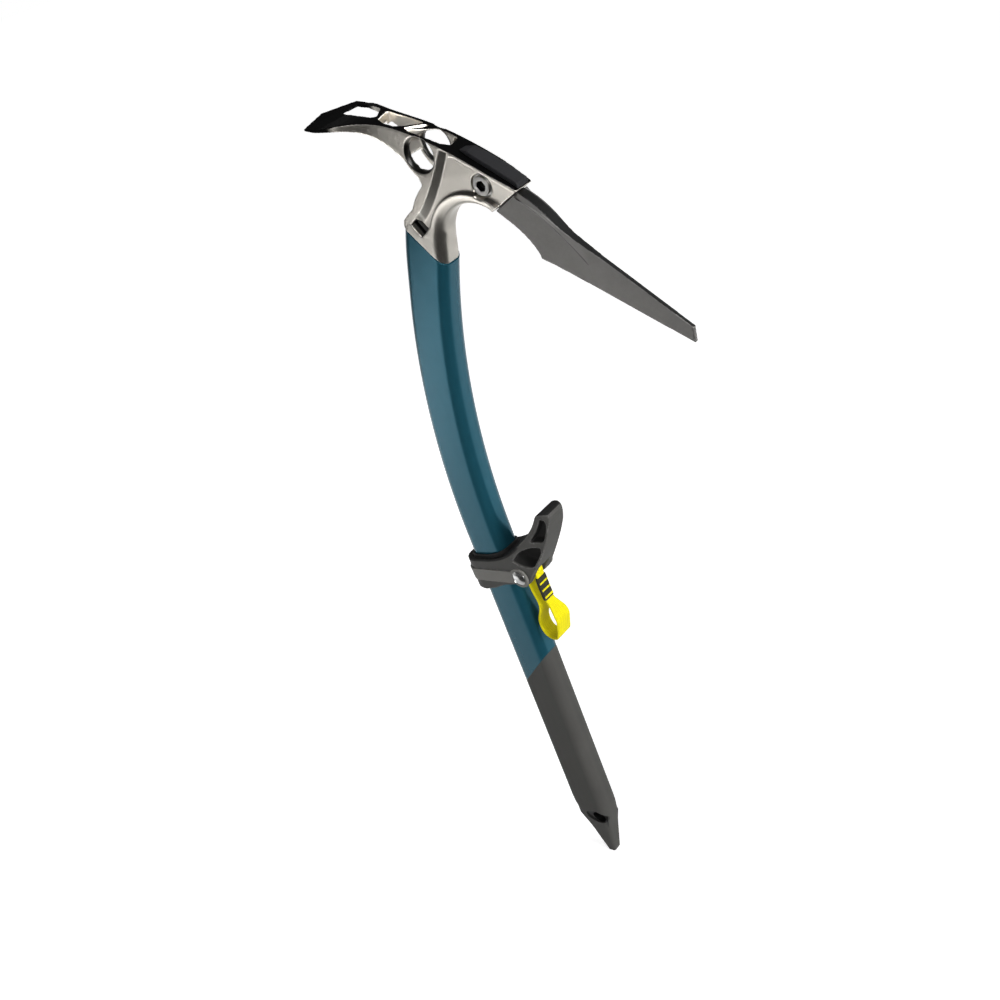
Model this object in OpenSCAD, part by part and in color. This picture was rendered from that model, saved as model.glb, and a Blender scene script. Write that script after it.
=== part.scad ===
// Technical ice climbing tool: bent shaft, forged head with adze, bolted pick, sliding finger rest.
// Row frame: origin at the centre of the head's clip eye, +Z up along the lower shaft,
// +X towards the pick, Y across. The modules work in the shaft's frame, where x = 0 is the axis of
// the lower shaft and z = 0 is the foot of the spike, and place() moves them to the row frame.
// Outlines written as [x, z] are seen from the side, those written as [x, y] from above.

/* [Shaft] */
// Depth of the tube, from back to front
shaft_w = 28; // [24:0.5:34]
// Thickness of the tube, from side to side
shaft_t = 17; // [14:0.5:22]
// Corner radius of the tube's section
shaft_r = 6; // [3:0.5:8]
// Wall of the tube
shaft_wall = 2; // [1.2:0.1:3]
// Height where the bend starts
bend_z = 270; // [200:1:320]
// Radius of the bend on the tube's axis
bend_r = 425; // [300:5:800]
// Angle of the bend
bend_a = 26; // [10:0.5:40]
// Slope of the tube's upper end and of the head's collar
collar_slope = 0.5; // [0:0.05:0.8]

/* [Grip and spike] */
// Thickness of the rubber sleeve
grip_t = 0.8; // [0.5:0.1:2]
// Height of the sleeve's slanted upper edge on the axis
grip_top = 167; // [120:1:220]
// Slope of the sleeve's upper edge, rising to the front
grip_slope = 0.97; // [0:0.05:1.2]
// Height where the tube ends above the spike
tube_foot = 56; // [40:1:80]
// Place of the lower eye, in front of the axis
spike_eye_x = 6; // [2:0.5:8]
// Height of the lower eye
spike_eye_z = 39; // [30:1:48]
// Radius of the lower eye
spike_eye_r = 5; // [3:0.1:6]

/* [Head] */
// Half thickness of the head's side walls, outside
head_h = 8.2; // [6:0.1:10]
// Half width of the hollow between the side walls
head_gap = 4.8; // [3:0.1:6]
// Depth of the lattice bars on top
lattice_t = 4.2; // [2:0.1:8]
// Place of the clip eye, in front of the lower axis
eye_x = 64.3; // [60:0.1:68]
// Height of the clip eye
eye_z = 504.8; // [495:0.1:515]
// Radius of the clip eye
eye_r = 8.5; // [6:0.1:9.5]
// Chamfer around the clip eye
eye_chamfer = 1.2; // [0.2:0.1:2]
// Half width of the adze at its corners
adze_h = 20.2; // [14:0.1:26]
// Half thickness left between the two side pockets
pocket_h = 6; // [4:0.1:8]
// Inner radius of the elbow under the head
elbow_r = 24.5; // [15:0.5:35]

/* [Pick] */
// Place of the pick bolt, in front of the lower axis
bolt_x = 95.9; // [90:0.1:100]
// Height of the pick bolt
bolt_z = 485.2; // [480:0.1:490]
// Radius of the bolt's shank
bolt_r = 4; // [3:0.1:5]
// Radius of the bolt's head and of the nut
bolt_head_r = 4.9; // [4:0.1:6]
// Radius of the washer under the bolt's head
washer_r = 6.1; // [5:0.1:6.5]
// Half thickness of the tang
tang_h = 2.45; // [1.5:0.05:3]
// Half thickness of the pick at the fork
pick_h = 5.3; // [3:0.1:6]
// Half thickness of the pick at its point
pick_tip_h = 1.1; // [0.6:0.1:2]

/* [Finger rest] */
// Wall of the collar around the shaft
rest_wall = 3.8; // [2:0.1:5]
// Extra wall at the back of the collar
rest_back = 1.6; // [0:0.1:3]
// Half width of the finger hook
hook_h = 8; // [5:0.1:11]
// Place of the rivet, in front of the axis
rivet_x = 24.6; // [22:0.1:28]
// Height of the rivet
rivet_z = 246.4; // [240:0.1:255]
// Radius of the rivet's shank
rivet_r = 2.45; // [1.5:0.05:3]
// Gap between the lining and the shaft
slide_gap = 0.3; // [0.2:0.05:0.6]
// Half width of the slot for the webbing
slot_h = 5.7; // [4:0.1:7]

/* [Webbing] */
// Half width of the webbing in the loop
web_h = 4.5; // [3:0.1:6]
// Half width of the webbing where it's gathered at the rivet
gather_h = 3.6; // [3:0.1:5]
// Thickness of the webbing
web_t = 1.5; // [0.8:0.1:2.5]

/* [Hidden] */
$fn = 64;

eps = 0.05;
far = 80;
inner_w = shaft_w - 2 * shaft_wall;
inner_t = shaft_t - 2 * shaft_wall;
inner_r = shaft_r - shaft_wall;
elbow_x = 80.9;
elbow_z = 452;
elbow_in = 162;
elbow_out = 66;
tail_len = 22;
insert_len = 26;
plug_len = 22;
sleeve_end = 2.6;
round_r = 6;
pocket_slope = 3.3;
collar_h = shaft_t / 2;
fork_lift = 3.4;
seam_gap = [0.13, -0.27];
key_n = -2.6;
key_u = 11.4;
neck_back = 1.8;
bolt_seat = pocket_h - 1.6;
washer_t = 0.6;
bolt_head_t = 1.6;
socket_r = 3;
nut_t = 1.7;
rest_w = shaft_w + 2 * rest_wall + rest_back;
rest_t = shaft_t + 2 * rest_wall;
rest_r = shaft_r + rest_wall - 0.5;
liner_t = 1;
liner_z = 241;
strap_h = 8.4;
strap_tilt = -3.5;
strap_out = 0.6;
strap_in = 0.8;
boss_r = 6.6;
spacer_r = 3.6;
dome_r = 7.8;
dome_h = 1.7;
keeper_t = 0.6;
tack_t = 0.38;
tack_w = 1.2;

// A cubic curve through four control points
function bez(a, b, c, d, n = 12) = [
    for (i = [0 : n]) let (t = i / n, s = 1 - t)
        s * s * s * a + 3 * s * s * t * b + 3 * s * t * t * c + t * t * t * d
];

// An arc of points about a centre
function arc(c, r, a0, a1, n = 12) = [
    for (i = [0 : n]) let (a = a0 + (a1 - a0) * i / n) [c[0] + r * cos(a), c[1] + r * sin(a)]
];

// A list of points moved by one offset
function moved(pts, d) = [for (p = pts) p + d];

// A list of points in the opposite order
function backwards(pts) = [for (i = [len(pts) - 1 : -1 : 0]) pts[i]];

// A list of points mirrored to the other side, in the opposite order
function other_side(pts) = [for (p = backwards(pts)) [p[0], -p[1]]];

// The top line of the head, from the adze's root to the end of the fork
function top_line(drop = 0) = moved(
    bez([12, 527.9], [48, 527.5], [82, 508.5], [117, 480.8], 20), [0, -drop]
);

// The outline of the plan, half width against x, from the adze's corner to the end of the fork
function plan_half() = concat(
    [[3.2, adze_h]],
    bez([9, adze_h - 0.1], [24, 18], [30, head_h + 0.4], [54, head_h], 12),
    [[98, head_h]],
    bez([98, head_h], [106, head_h], [112, 7], [117.5, 6.2], 5)
);

// Moves the shaft's frame to the row frame
module place() {
    translate([-eye_x, 0, -eye_z]) children();
}

// A rounded rectangle about the origin
module rrect(w, t, r) {
    square([w - 2 * r, t], center = true);
    square([w, t - 2 * r], center = true);
    for (x = [-1, 1], y = [-1, 1]) translate([x * (w / 2 - r), y * (t / 2 - r)]) circle(r);
}

// A side outline made solid between -half and +half
module side(pts, half) {
    rotate([90, 0, 0]) linear_extrude(2 * half, center = true) polygon(pts);
}

// A plan outline made solid between two heights
module plan(pts, z0, z1) {
    translate([0, 0, z0]) linear_extrude(z1 - z0) polygon(pts);
}

// A round bar across the tool
module cross_bar(x, z, r, half) {
    translate([x, 0, z]) rotate([90, 0, 0]) cylinder(2 * half, r, r, center = true);
}

// The frame at the top of the bend: z along the shaft, x to the front
module top_frame() {
    translate([bend_r * (1 - cos(bend_a)), 0, bend_z + bend_r * sin(bend_a)])
        rotate([0, bend_a, 0]) children();
}

// The bent part of a bar with the shaft's axis, between two angles of the bend
module bend(w, t, r, a0, a1) {
    translate([bend_r, 0, bend_z]) rotate([90, 0, 180]) rotate([0, 0, a0])
        rotate_extrude(angle = a1 - a0, $fn = 180) translate([bend_r, 0]) rrect(w, t, r);
}

// All space above the slanted joint between tube and collar
module above_collar(lift = 0) {
    top_frame() translate([0, 0, 1 + lift]) rotate([0, atan(collar_slope), 0])
        translate([-far, -far, 0]) cube(2 * far);
}

// All space above the slanted edge of the sleeve
module above_grip() {
    translate([0, 0, grip_top]) rotate([0, -atan(grip_slope), 0]) translate([-far, -far, 0]) cube(2 * far);
}

// The side outline of the shaft's foot, inset by d
function foot_side(d) = concat(
    [[-20, tube_foot], [-14.2, 49.8], [-7.6, 28], [-2.5, 6.6]],
    arc([0.6, 3.2], 3.5 - d, 195, 345, 10),
    [[4 - d, 4.4], [7.8 - d, 20], [13.1 - d, 39], [14 - d, 45], [20, tube_foot]]
);

// The front outline of the shaft's foot as [y, z], inset by d
function foot_front(d) = concat(
    [[10, tube_foot], [shaft_t / 2 - d, 44], [5.2 - d, 20]],
    arc([0, 3.2], 3.2 - d, 0, -180, 12),
    [[-5.2 + d, 20], [-shaft_t / 2 + d, 44], [-10, tube_foot]]
);

// The tapered foot of the shaft, inset by d
module foot(d) {
    intersection() {
        translate([0, 0, -5]) linear_extrude(tube_foot + 5)
            rrect(shaft_w - 2 * d, shaft_t - 2 * d, shaft_r - d);
        side(foot_side(d), 20);
        rotate([90, 0, 90]) linear_extrude(60, center = true) polygon(foot_front(d));
    }
}

module shaft_tube() color([0.16, 0.37, 0.45]) place() difference() {
    union() {
        intersection() {
            translate([0, 0, tube_foot]) linear_extrude(bend_z - tube_foot) rrect(shaft_w, shaft_t, shaft_r);
            above_grip();
        }
        translate([0, 0, tube_foot]) linear_extrude(200 - tube_foot)
            rrect(shaft_w - 2 * grip_t, shaft_t - 2 * grip_t, shaft_r - grip_t);
        bend(shaft_w, shaft_t, shaft_r, 0, bend_a + 2);
    }
    translate([0, 0, tube_foot - 1]) linear_extrude(bend_z - tube_foot + 1) rrect(inner_w, inner_t, inner_r);
    bend(inner_w, inner_t, inner_r, 0, bend_a + 3);
    above_collar();
    spike_pin_bar(eps, shaft_t);
}

// The closed-cell plug above the spike
module shaft_plug() color([0.2, 0.2, 0.2]) place()
    translate([0, 0, tube_foot + insert_len]) linear_extrude(plug_len)
        rrect(inner_w - 2 * eps, inner_t - 2 * eps, inner_r - eps);

module grip_sleeve() color([0.27, 0.26, 0.25]) place() difference() {
    union() {
        difference() {
            translate([0, 0, tube_foot]) linear_extrude(200 - tube_foot) rrect(shaft_w, shaft_t, shaft_r);
            above_grip();
        }
        foot(0);
    }
    translate([0, 0, tube_foot - 1]) linear_extrude(200)
        rrect(shaft_w - 2 * grip_t + eps, shaft_t - 2 * grip_t + eps, shaft_r - grip_t);
    foot(grip_t - eps / 2);
    translate([-far, -far, -far]) cube([2 * far, 2 * far, far + sleeve_end]);
    cross_bar(spike_eye_x, spike_eye_z, spike_eye_r + 0.3, far);
}

module spike_pin_bar(gap, len) {
    cross_bar(-3, tube_foot + 12, 2 + gap, len / 2);
}

module spike_insert() color([0.42, 0.42, 0.42]) place() difference() {
    union() {
        foot(grip_t);
        translate([0, 0, tube_foot - 1]) linear_extrude(insert_len)
            rrect(inner_w - 2 * eps, inner_t - 2 * eps, inner_r - eps);
    }
    cross_bar(spike_eye_x, spike_eye_z, spike_eye_r, far);
    spike_pin_bar(0.02, far);
}

module spike_pin() color([0.5, 0.5, 0.5]) place() spike_pin_bar(0, shaft_t - 2 * grip_t - 0.2);

// A point on the seam between fork and pick, from its lower end at 0 to its upper end at 1
function seam(t) = [96.4, 471] + t * [20.6, 9.8];

// The side outline of the head's bridge, from the adze's edge to the seam of the pick
function bridge_side() = concat(
    [[-3.4, 531.4], [4, 529.6]],
    top_line(),
    [seam(0.12)],
    arc([elbow_x, elbow_z], elbow_r + round_r + 1, elbow_out, elbow_in, 10),
    bez([55, 483], [57.5, 484.2], [58.4, 487.5], [58.4, 490.5], 6),
    bez([58, 493.4], [55.6, 496.3], [54, 499.4], [52.7, 503.6], 6),
    bez([52.7, 503.6], [44, 514], [38, 521.5], [17, 525.4], 12),
    [[9.8, 526.8], [-3.4, 530.4]]
);

// The side outline of the neck above the collar
function neck_side() = concat(
    [[30, 469.2], [54, 482.5]],
    bez([55, 483], [57.5, 484.2], [58.4, 487.5], [58.4, 490.5], 6),
    [[70, 492], [88, 470], [70, 430], [40, 430]]
);

// The elbow's section as [radius, y], rounded on its inner side and inset by d
module elbow_section(d) {
    translate([elbow_r + round_r, -collar_h + d]) square([13 - d, 2 * (collar_h - d)]);
    translate([elbow_r + d, -collar_h + round_r]) square([round_r + 1, 2 * (collar_h - round_r)]);
    for (s = [-1, 1]) translate([elbow_r + round_r, s * (collar_h - round_r)]) circle(round_r - d);
}

// The rounded front of the neck, straight from the collar, round the elbow and straight to the fork.
// The straight runs are a hair smaller and start inside the round part.
module elbow() {
    hair = 0.06;
    lap = 2;
    translate([elbow_x, 0, elbow_z]) rotate([90, 0, 0]) {
        rotate([0, 0, elbow_out]) rotate_extrude(angle = elbow_in - elbow_out, $fn = 180) elbow_section(0);
        rotate([0, 0, elbow_out]) rotate([90, 0, 0]) translate([0, 0, -lap])
            linear_extrude(tail_len + lap) elbow_section(hair);
        rotate([0, 0, elbow_in]) rotate([-90, 0, 0]) translate([0, 0, -lap])
            linear_extrude(36 + lap) elbow_section(hair);
    }
}

// The lattice openings in the top of the head, as the photograph shows them
module lattice_holes() {
    plan([[6.8, 4.2], [7.6, 15.6], [15, 15.6], [30, 9.9], [35.8, 0.2], [33.8, -2], [23.4, -0.8]], 480, 540);
    plan([
        [39.2, -2.5], [36.2, 8], [43.4, 6.6], [60.8, 5.8], [55, -2.7], [51.2, -5.6], [45.3, -5.5]
    ], 512, 540);
    plan([[58.4, -5], [70, 5.8], [79.5, 5.8], [81, -1.8], [77, -4.6], [67, -5.6], [60, -5.7]], 497, 540);
    intersection() {
        plan([[56.4, -4.2], [62.2, 5.2], [64.4, 5.2], [58, -4.6]], 480, 540);
        side(concat(top_line(1.6), [[117, 560], [12, 560]]), 10);
    }
}

// The hollow between the side walls, open below, with a web across it behind the eye
module head_hollow() {
    difference() {
        side(concat(
            [for (p = top_line(lattice_t)) if (p[0] > 24 && p[0] < 80) p],
            [[79, 501.8], [66, 490.6], [58.6, 492.6], [40, 496], [20, 505]]
        ), head_gap);
        translate([50.5, -head_gap - 1, 504.6]) cube([4.9, 2 * head_gap + 2, 6.4]);
    }
}

// A wedge that slopes the wall of a side recess between two points of its upper edge
module pocket_wall(s, a, b) {
    run = b - a;
    translate([a[0], 0, a[1]]) rotate([0, -atan2(run[1], run[0]), 0])
        rotate([90, 0, 90]) linear_extrude(norm(run)) polygon([
            [s * (head_h + 0.6), 0.6],
            [s * pocket_h, -pocket_slope - 0.1],
            [s * (head_h + 0.6), -pocket_slope - 0.1]
        ]);
}

// The recess in each side of the neck, with a sloped wall at the back
module side_pocket(s) {
    low = [43.5, 471];
    mid = [60.5, 484];
    high = [77, 504];
    shift = pocket_slope * [0.707, -0.707];
    outline = concat(
        [low + shift, mid + shift, high + shift],
        [for (p = top_line(2)) if (p[0] > 82) p],
        [[121, 486], [119, 479.5], [105, 472.4]],
        arc([elbow_x, elbow_z], elbow_r + 6.8, 50, 150, 14),
        [[47.6, 463.6]]
    );
    translate([0, s * (pocket_h + 5), 0]) side(outline, 5);
    pocket_wall(s, low, mid);
    pocket_wall(s, mid, high);
}

// The window for the key, square to the collar's joint
module key_space(w, l, half) {
    top_frame() translate([key_n, 0, key_u]) rotate([0, atan(collar_slope) + 6, 0])
        cube([l, 2 * half, w], center = true);
}

// The neck's plan, wide over the collar and as narrow as the fork in front
module neck_plan() {
    half = concat([[20, 9], [90, 9]], [for (p = plan_half()) if (p[0] > 96) p]);
    plan(concat(half, other_side(half)), 430, 540);
}

// The lower limit of the head, from the collar to the end of the fork
function below_seam() = [[20, 420], [75, 420], [75, 461], [91, 473.6], seam(0.12), seam(0.85)];

// The fork's cheeks, which square off the elbow's rounding towards the seam
module fork_cheeks() {
    intersection() {
        side(concat(
            bez([72, 479.6], [80, 480.6], [87, 479], [93.5, 474.8], 8),
            [[99, 471.4], [99, 484], [72, 484]]
        ), 7.2);
        side(concat(below_seam(), [[117, 490], [20, 490]]), 30);
    }
}

module head_forging() color([0.7, 0.69, 0.67]) place() difference() {
    union() {
        intersection() {
            side(bridge_side(), 30);
            plan(concat([[-3.4, 0]], plan_half(), other_side(plan_half())), 460, 540);
        }
        intersection() {
            elbow();
            neck_plan();
            side(concat(below_seam(), [for (p = backwards(top_line(0.4))) if (p[0] < 112) p]), 30);
            above_collar(0.1);
        }
        fork_cheeks();
        intersection() {
            top_frame() translate([-neck_back / 2, 0, -14]) linear_extrude(60)
                rrect(shaft_w + neck_back, shaft_t + 0.1, shaft_r);
            top_frame() translate([-30 - 2, -20, -20]) cube([30, 40, 80]);
            side(neck_side(), 30);
            above_collar(0.1);
        }
        bend(inner_w - 2 * eps, inner_t - 2 * eps, inner_r - eps, bend_a - 5, bend_a + 1.6);
    }
    lattice_holes();
    head_hollow();
    for (s = [-1, 1]) side_pocket(s);
    cross_bar(eye_x, eye_z, eye_r, far);
    for (s = [-1, 1]) translate([eye_x, s * (head_h + 0.01), eye_z]) rotate([s * 90, 0, 0])
        cylinder(eye_chamfer, eye_r + eye_chamfer, eye_r);
    side(concat(
        [[86.6, lookup(86.6, top_line(fork_lift))]],
        [for (p = top_line(fork_lift)) if (p[0] > 87) p],
        [[125, 470], [125, 440], [86.6, 440]]
    ), tang_h + 0.1);
    cross_bar(bolt_x, bolt_z, bolt_r + 0.15, far);
    for (s = [-1, 1]) translate([bolt_x, s * (bolt_seat + 4), bolt_z]) rotate([90, 0, 0])
        cylinder(8, washer_r + 0.15, washer_r + 0.15, center = true);
    key_space(5.7, 8.4, far);
}

module head_key() color([0.22, 0.22, 0.22]) place() key_space(3.4, 8.2, 4.4);

// The raised strip along the top of the fork, as thick as cap_t
module head_cap() color([0.2, 0.2, 0.21]) place() {
    cap_t = 2.4;
    low = [for (p = top_line(-0.05)) if (p[0] > 84) p];
    high = [for (i = [len(low) - 1 : -1 : 1]) low[i] + [0.5, cap_t]];
    half = concat([[84, 0.8]], bez([86, 2.6], [90, 4.4], [100, 4.4], [116.6, 4.2], 8));
    intersection() {
        side(concat(low, [[117, 480.85], [117, 482.6]], high), 10);
        plan(concat(half, other_side(half)), 440, 540);
    }
}

// The side outline of the whole pick, with its tang
function pick_side() = concat(
    [[88, 476], [88, 496]],
    [for (p = top_line(fork_lift + 0.4)) if (p[0] > 89 && p[0] < 112) p],
    bez([114.5, 478.7], [122.5, 473], [127, 467], [131, 461.2], 6),
    bez([132, 459.9], [134.6, 456.4], [137.5, 453.5], [140.7, 450.7], 5),
    [[190.8, 405.9], [189.7, 397.7], [115.3, 444.6], [115.3, 446.8]],
    bez([115.2, 447.2], [113.5, 455], [106.5, 466.5], [94.5, 475], 10)
);

// The region of the pick's body in front of the seam
function pick_front() = concat(
    moved([seam(-0.3), seam(1.6)], seam_gap),
    [[150, 500], [215, 400], [215, 370], [110, 420], [90, 464]]
);

// The pick's thickness against its run, made solid; proud adds to the half thickness
module pick_taper(proud) {
    half = [
        [-20, pick_h + proud], [7, pick_h + proud], [39, 2.1 + proud * 0.8],
        [58, 1.6 + proud * 0.1], [130, pick_tip_h]
    ];
    translate([100, 0, 475]) rotate([0, 39.8, 0]) plan(concat(half, other_side(half)), -80, 80);
}

module pick() color([0.4, 0.4, 0.38]) place() difference() {
    union() {
        intersection() {
            side(pick_side(), tang_h);
            side([[80, 466], [92, 466], [130, 485], [110, 510], [80, 510]], 10);
        }
        intersection() {
            side(pick_side(), 10);
            side(pick_front(), 10);
            pick_taper(0);
        }
        intersection() {
            side(pick_side(), 10);
            side(pick_front(), 10);
            pick_taper(0.6);
            side(concat(
                bez([112, 478.8], [120, 472], [127, 463], [132.4, 454.5], 8),
                bez([133, 453.5], [136, 449], [139.5, 444], [141.8, 439.8], 4),
                [[160, 450], [140, 500], [112, 500]]
            ), 10);
        }
    }
    cross_bar(bolt_x, bolt_z, bolt_r + 0.1, far);
}

// The screw's near face and socket are on the -Y side
module pick_bolt() color([0.36, 0.36, 0.37]) place() translate([bolt_x, 0, bolt_z]) rotate([90, 0, 0])
    difference() {
        union() {
            translate([0, 0, -5.4]) cylinder(11, bolt_r, bolt_r);
            translate([0, 0, bolt_seat + washer_t + 0.04]) cylinder(bolt_head_t, bolt_head_r, bolt_head_r);
        }
        translate([0, 0, bolt_seat - 1]) cylinder(6, socket_r, socket_r, $fn = 6);
    }

module bolt_washer() color([0.5, 0.5, 0.5]) place() translate([bolt_x, 0, bolt_z]) rotate([90, 0, 0])
    translate([0, 0, bolt_seat + 0.02]) difference() {
        cylinder(washer_t, washer_r, washer_r);
        translate([0, 0, -1]) cylinder(washer_t + 2, bolt_r + 0.1, bolt_r + 0.1);
    }

module pick_nut() color([0.36, 0.36, 0.37]) place() translate([bolt_x, 0, bolt_z]) rotate([-90, 0, 0])
    difference() {
        translate([0, 0, bolt_seat + 0.02]) cylinder(nut_t, bolt_head_r, bolt_head_r);
        cylinder(20, bolt_r + 0.02, bolt_r + 0.02);
        for (a = [0, 90]) rotate([0, 0, a]) translate([0, 0, pocket_h + 0.1])
            cube([1.4, 2 * bolt_head_r + 1, 1.4], center = true);
    }

// The side outline of the finger rest: collar, rivet boss and hook
function rest_side() = concat(
    [[-21, 235.4], [-15, 233.6], [-8, 233.2], [0, 235.2], [9, 238.8], [17, 240.4]],
    arc([rivet_x, rivet_z], 7, 230, 300, 6),
    bez([33, 246.6], [41, 255.5], [50, 267], [56.5, 279.5], 10),
    bez([57.6, 281.6], [60.2, 286.4], [61.9, 290.9], [59.2, 291.6], 6),
    bez([57, 291.9], [53.4, 291.8], [52.3, 291.4], [51, 289.9], 4),
    bez([50.4, 289.2], [46.5, 283], [42, 277.4], [34, 271.4], 8),
    bez([33, 270.6], [24, 263.8], [16, 258.4], [2, 256.6], 8),
    [[-21, 254.4]]
);

// The plan of the finger rest as half width against x
function rest_half() = concat(
    [[0, rest_t / 2], [20, rest_t / 2]],
    bez([24, rest_t / 2], [34, rest_t / 2], [38, hook_h], [50, hook_h], 8),
    [[57, hook_h], [63, hook_h - 2.5]]
);

// The two hollows in each side of the hook
module rest_pockets() {
    upper = concat(
        [[53.6, 288.2], [57, 287.9]],
        bez([57.4, 284.6], [56.4, 281.4], [54, 277.6], [51.4, 273.4], 6),
        [[48.6, 271.8], [41, 271.4]],
        bez([41, 272.6], [46, 277.2], [50, 282.2], [53.2, 287.4], 6)
    );
    lower = concat(
        bez([30.4, 264.6], [34.6, 267], [40, 268.6], [46.4, 267.6], 6),
        bez([45.4, 264], [42, 259.6], [40, 257], [37.4, 254.2], 6),
        bez([35, 253.6], [30, 254.4], [26, 256.2], [23.6, 258.4], 6)
    );
    for (s = [-1, 1], o = [upper, lower]) translate([0, s * (10 + 1.6), 0]) side(o, 10);
}

// The slot between the cheeks that the webbing hangs and swings in
module rest_slot() {
    side(concat(
        arc([rivet_x, rivet_z], 6.4, 40, 180, 10),
        [[18.2, 226], [60, 226], [60, 246], [31, 252]]
    ), slot_h);
}

// The collar's section, grown by g and with its own corner radius
module rest_ring(g, r) {
    translate([-rest_back / 2, 0]) rrect(rest_w + 2 * g, rest_t + 2 * g, r);
}

// The band round the collar, in the working frame; grow makes the seat for it
module strap_shape(grow) {
    out = strap_out + grow;
    in = strap_in + grow;
    height = strap_h + 2 * grow;
    translate([rivet_x, 0, rivet_z]) rotate([0, strap_tilt, 0]) {
        translate([-rivet_x, 0, -height / 2]) linear_extrude(height) difference() {
            union() {
                rest_ring(out, rest_r);
                translate([0, -rest_t / 2 - out]) square([rivet_x, rest_t + 2 * out]);
            }
            rest_ring(-in, rest_r - 0.6);
            translate([0, -rest_t / 2 + in]) square([rivet_x + 1, rest_t - 2 * in]);
        }
        for (s = [-1, 1]) translate([0, s * (rest_t / 2 + (out - in) / 2), 0]) rotate([90, 0, 0])
            cylinder(out + in, boss_r + grow, boss_r + grow, center = true);
    }
}

module trigger_body() color([0.24, 0.23, 0.22]) place() difference() {
    union() {
        intersection() {
            translate([0, 0, 225]) linear_extrude(45) rest_ring(0, rest_r);
            side(rest_side(), 30);
        }
        intersection() {
            side(rest_side(), 30);
            plan(concat(rest_half(), other_side(rest_half())), 220, 300);
            translate([6, -20, 220]) cube([60, 40, 90]);
        }
    }
    translate([0, 0, 220]) linear_extrude(60)
        rrect(shaft_w + 2 * slide_gap + 0.2, shaft_t + 2 * slide_gap + 0.2, shaft_r + slide_gap);
    liner_bar(0, 280);
    rest_pockets();
    rest_slot();
    strap_shape(0.05);
    cross_bar(rivet_x, rivet_z, rivet_r + 0.05, far);
}

// A bar with the lining's outside, grown by a gap, up to a height
module liner_bar(gap, top) {
    grow = 2 * (slide_gap + liner_t + gap);
    translate([0, 0, liner_z - gap]) linear_extrude(top - liner_z + gap)
        rrect(shaft_w + grow, shaft_t + grow, shaft_r + liner_t);
}

// The lining stands a little above the collar's rim all round
module trigger_liner() color([0.1, 0.1, 0.1]) place() difference() {
    intersection() {
        liner_bar(-0.03, 280);
        side([[-22, 220], [22, 220], [22, 265], [14, 261.8], [2, 258.6], [-22, 256.2]], 20);
    }
    translate([0, 0, 220]) linear_extrude(60)
        rrect(shaft_w + 2 * slide_gap, shaft_t + 2 * slide_gap, shaft_r + slide_gap);
}

module trigger_strap() color([0.4, 0.39, 0.37]) place() difference() {
    strap_shape(0);
    cross_bar(rivet_x, rivet_z, rivet_r + 0.05, far);
}

// A rivet with a domed head on each side
module trigger_axle() color([0.8, 0.8, 0.8]) place() translate([rivet_x, 0, rivet_z]) rotate([90, 0, 0]) {
    seat = rest_t / 2 + strap_out;
    cylinder(2 * seat + 0.4, rivet_r, rivet_r, center = true);
    for (s = [0, 180]) rotate([s, 0, 0]) translate([0, 0, seat + 0.05]) intersection() {
        cylinder(3, 6, 6);
        translate([0, 0, dome_h - dome_r]) sphere(dome_r);
    }
}

module trigger_spacer() color([0.6, 0.6, 0.6]) place() difference() {
    cross_bar(rivet_x, rivet_z, spacer_r, slot_h - 0.1);
    cross_bar(rivet_x, rivet_z, rivet_r + 0.05, far);
}

// The middle line of the webbing, from the left of the rivet round the loop to its right
function web_left() = concat(
    bez([19.9, 246.4], [19.6, 238], [20.2, 229], [22.4, 221.6], 6),
    bez([22.9, 219.4], [23.6, 214.6], [17.4, 211.4], [16.6, 205.6], 6)
);
function web_bottom() = concat(
    bez([16.4, 203.6], [16.2, 199], [18.6, 194.8], [23.1, 194.4], 6),
    bez([25, 194.3], [28.6, 194.4], [31.4, 195.4], [32.6, 198.4], 5)
);
function web_right() = concat(
    bez([33.4, 200.2], [34.2, 203], [35.2, 205.4], [36.2, 208], 5),
    bez([37.2, 210.4], [36.8, 214.8], [32.8, 218.4], [30, 222.4], 6)
);
function web_neck() = bez([29.3, 224], [28.6, 229], [28.4, 238], [29.3, 246.4], 8);
function web_top() = arc([rivet_x, rivet_z], 4.7, 15, 165, 10);
function web_line() = concat(web_left(), web_bottom(), web_right(), web_neck(), web_top());

// The webbing's half width as [y, z], gathered above and wide in the loop
function web_half() = concat(
    [[web_h, 180]],
    bez([web_h, 212], [web_h, 217], [gather_h, 218], [gather_h, 224], 6),
    [[gather_h, 260]]
);

// A line of points moved sideways by d; a closed line joins its ends
function beside(p, d, closed) = let (n = len(p)) [
    for (i = [0 : n - 1]) let (
        a = closed ? p[(i + n - 1) % n] : p[max(i - 1, 0)],
        b = closed ? p[(i + 1) % n] : p[min(i + 1, n - 1)],
        t = (b - a) / norm(b - a)
    ) p[i] + d * [t[1], -t[0]]
];

module webbing_loop() color([0.93, 0.88, 0.05]) place() difference() {
    intersection() {
        side(beside(web_line(), web_t / 2, true), web_h);
        rotate([90, 0, 90]) linear_extrude(120, center = true)
            polygon(concat(web_half(), [for (p = backwards(web_half())) [-p[0], p[1]]]));
    }
    side(beside(web_line(), -web_t / 2, true), web_h + 1);
}

// The strand that the keeper wraps, below the finger rest
function keeper_line() = [for (p = web_neck()) if (p[1] < 240) p];

// A strip along the keeper's strand between two offsets
module keeper_strip(d0, d1, half) {
    strand = keeper_line();
    back = beside(strand, d1, false);
    side(concat(beside(strand, d0, false), backwards(back)), half);
}

module webbing_keeper() color([0.1, 0.1, 0.1]) place() difference() {
    keeper_strip(-web_t / 2 - keeper_t, web_t / 2 + keeper_t, gather_h + 0.5);
    side(beside(web_line(), web_t / 2 + 0.02, true), gather_h + 0.02);
    side(beside(web_line(), -web_t / 2 - 0.02, true), 20);
}

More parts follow.
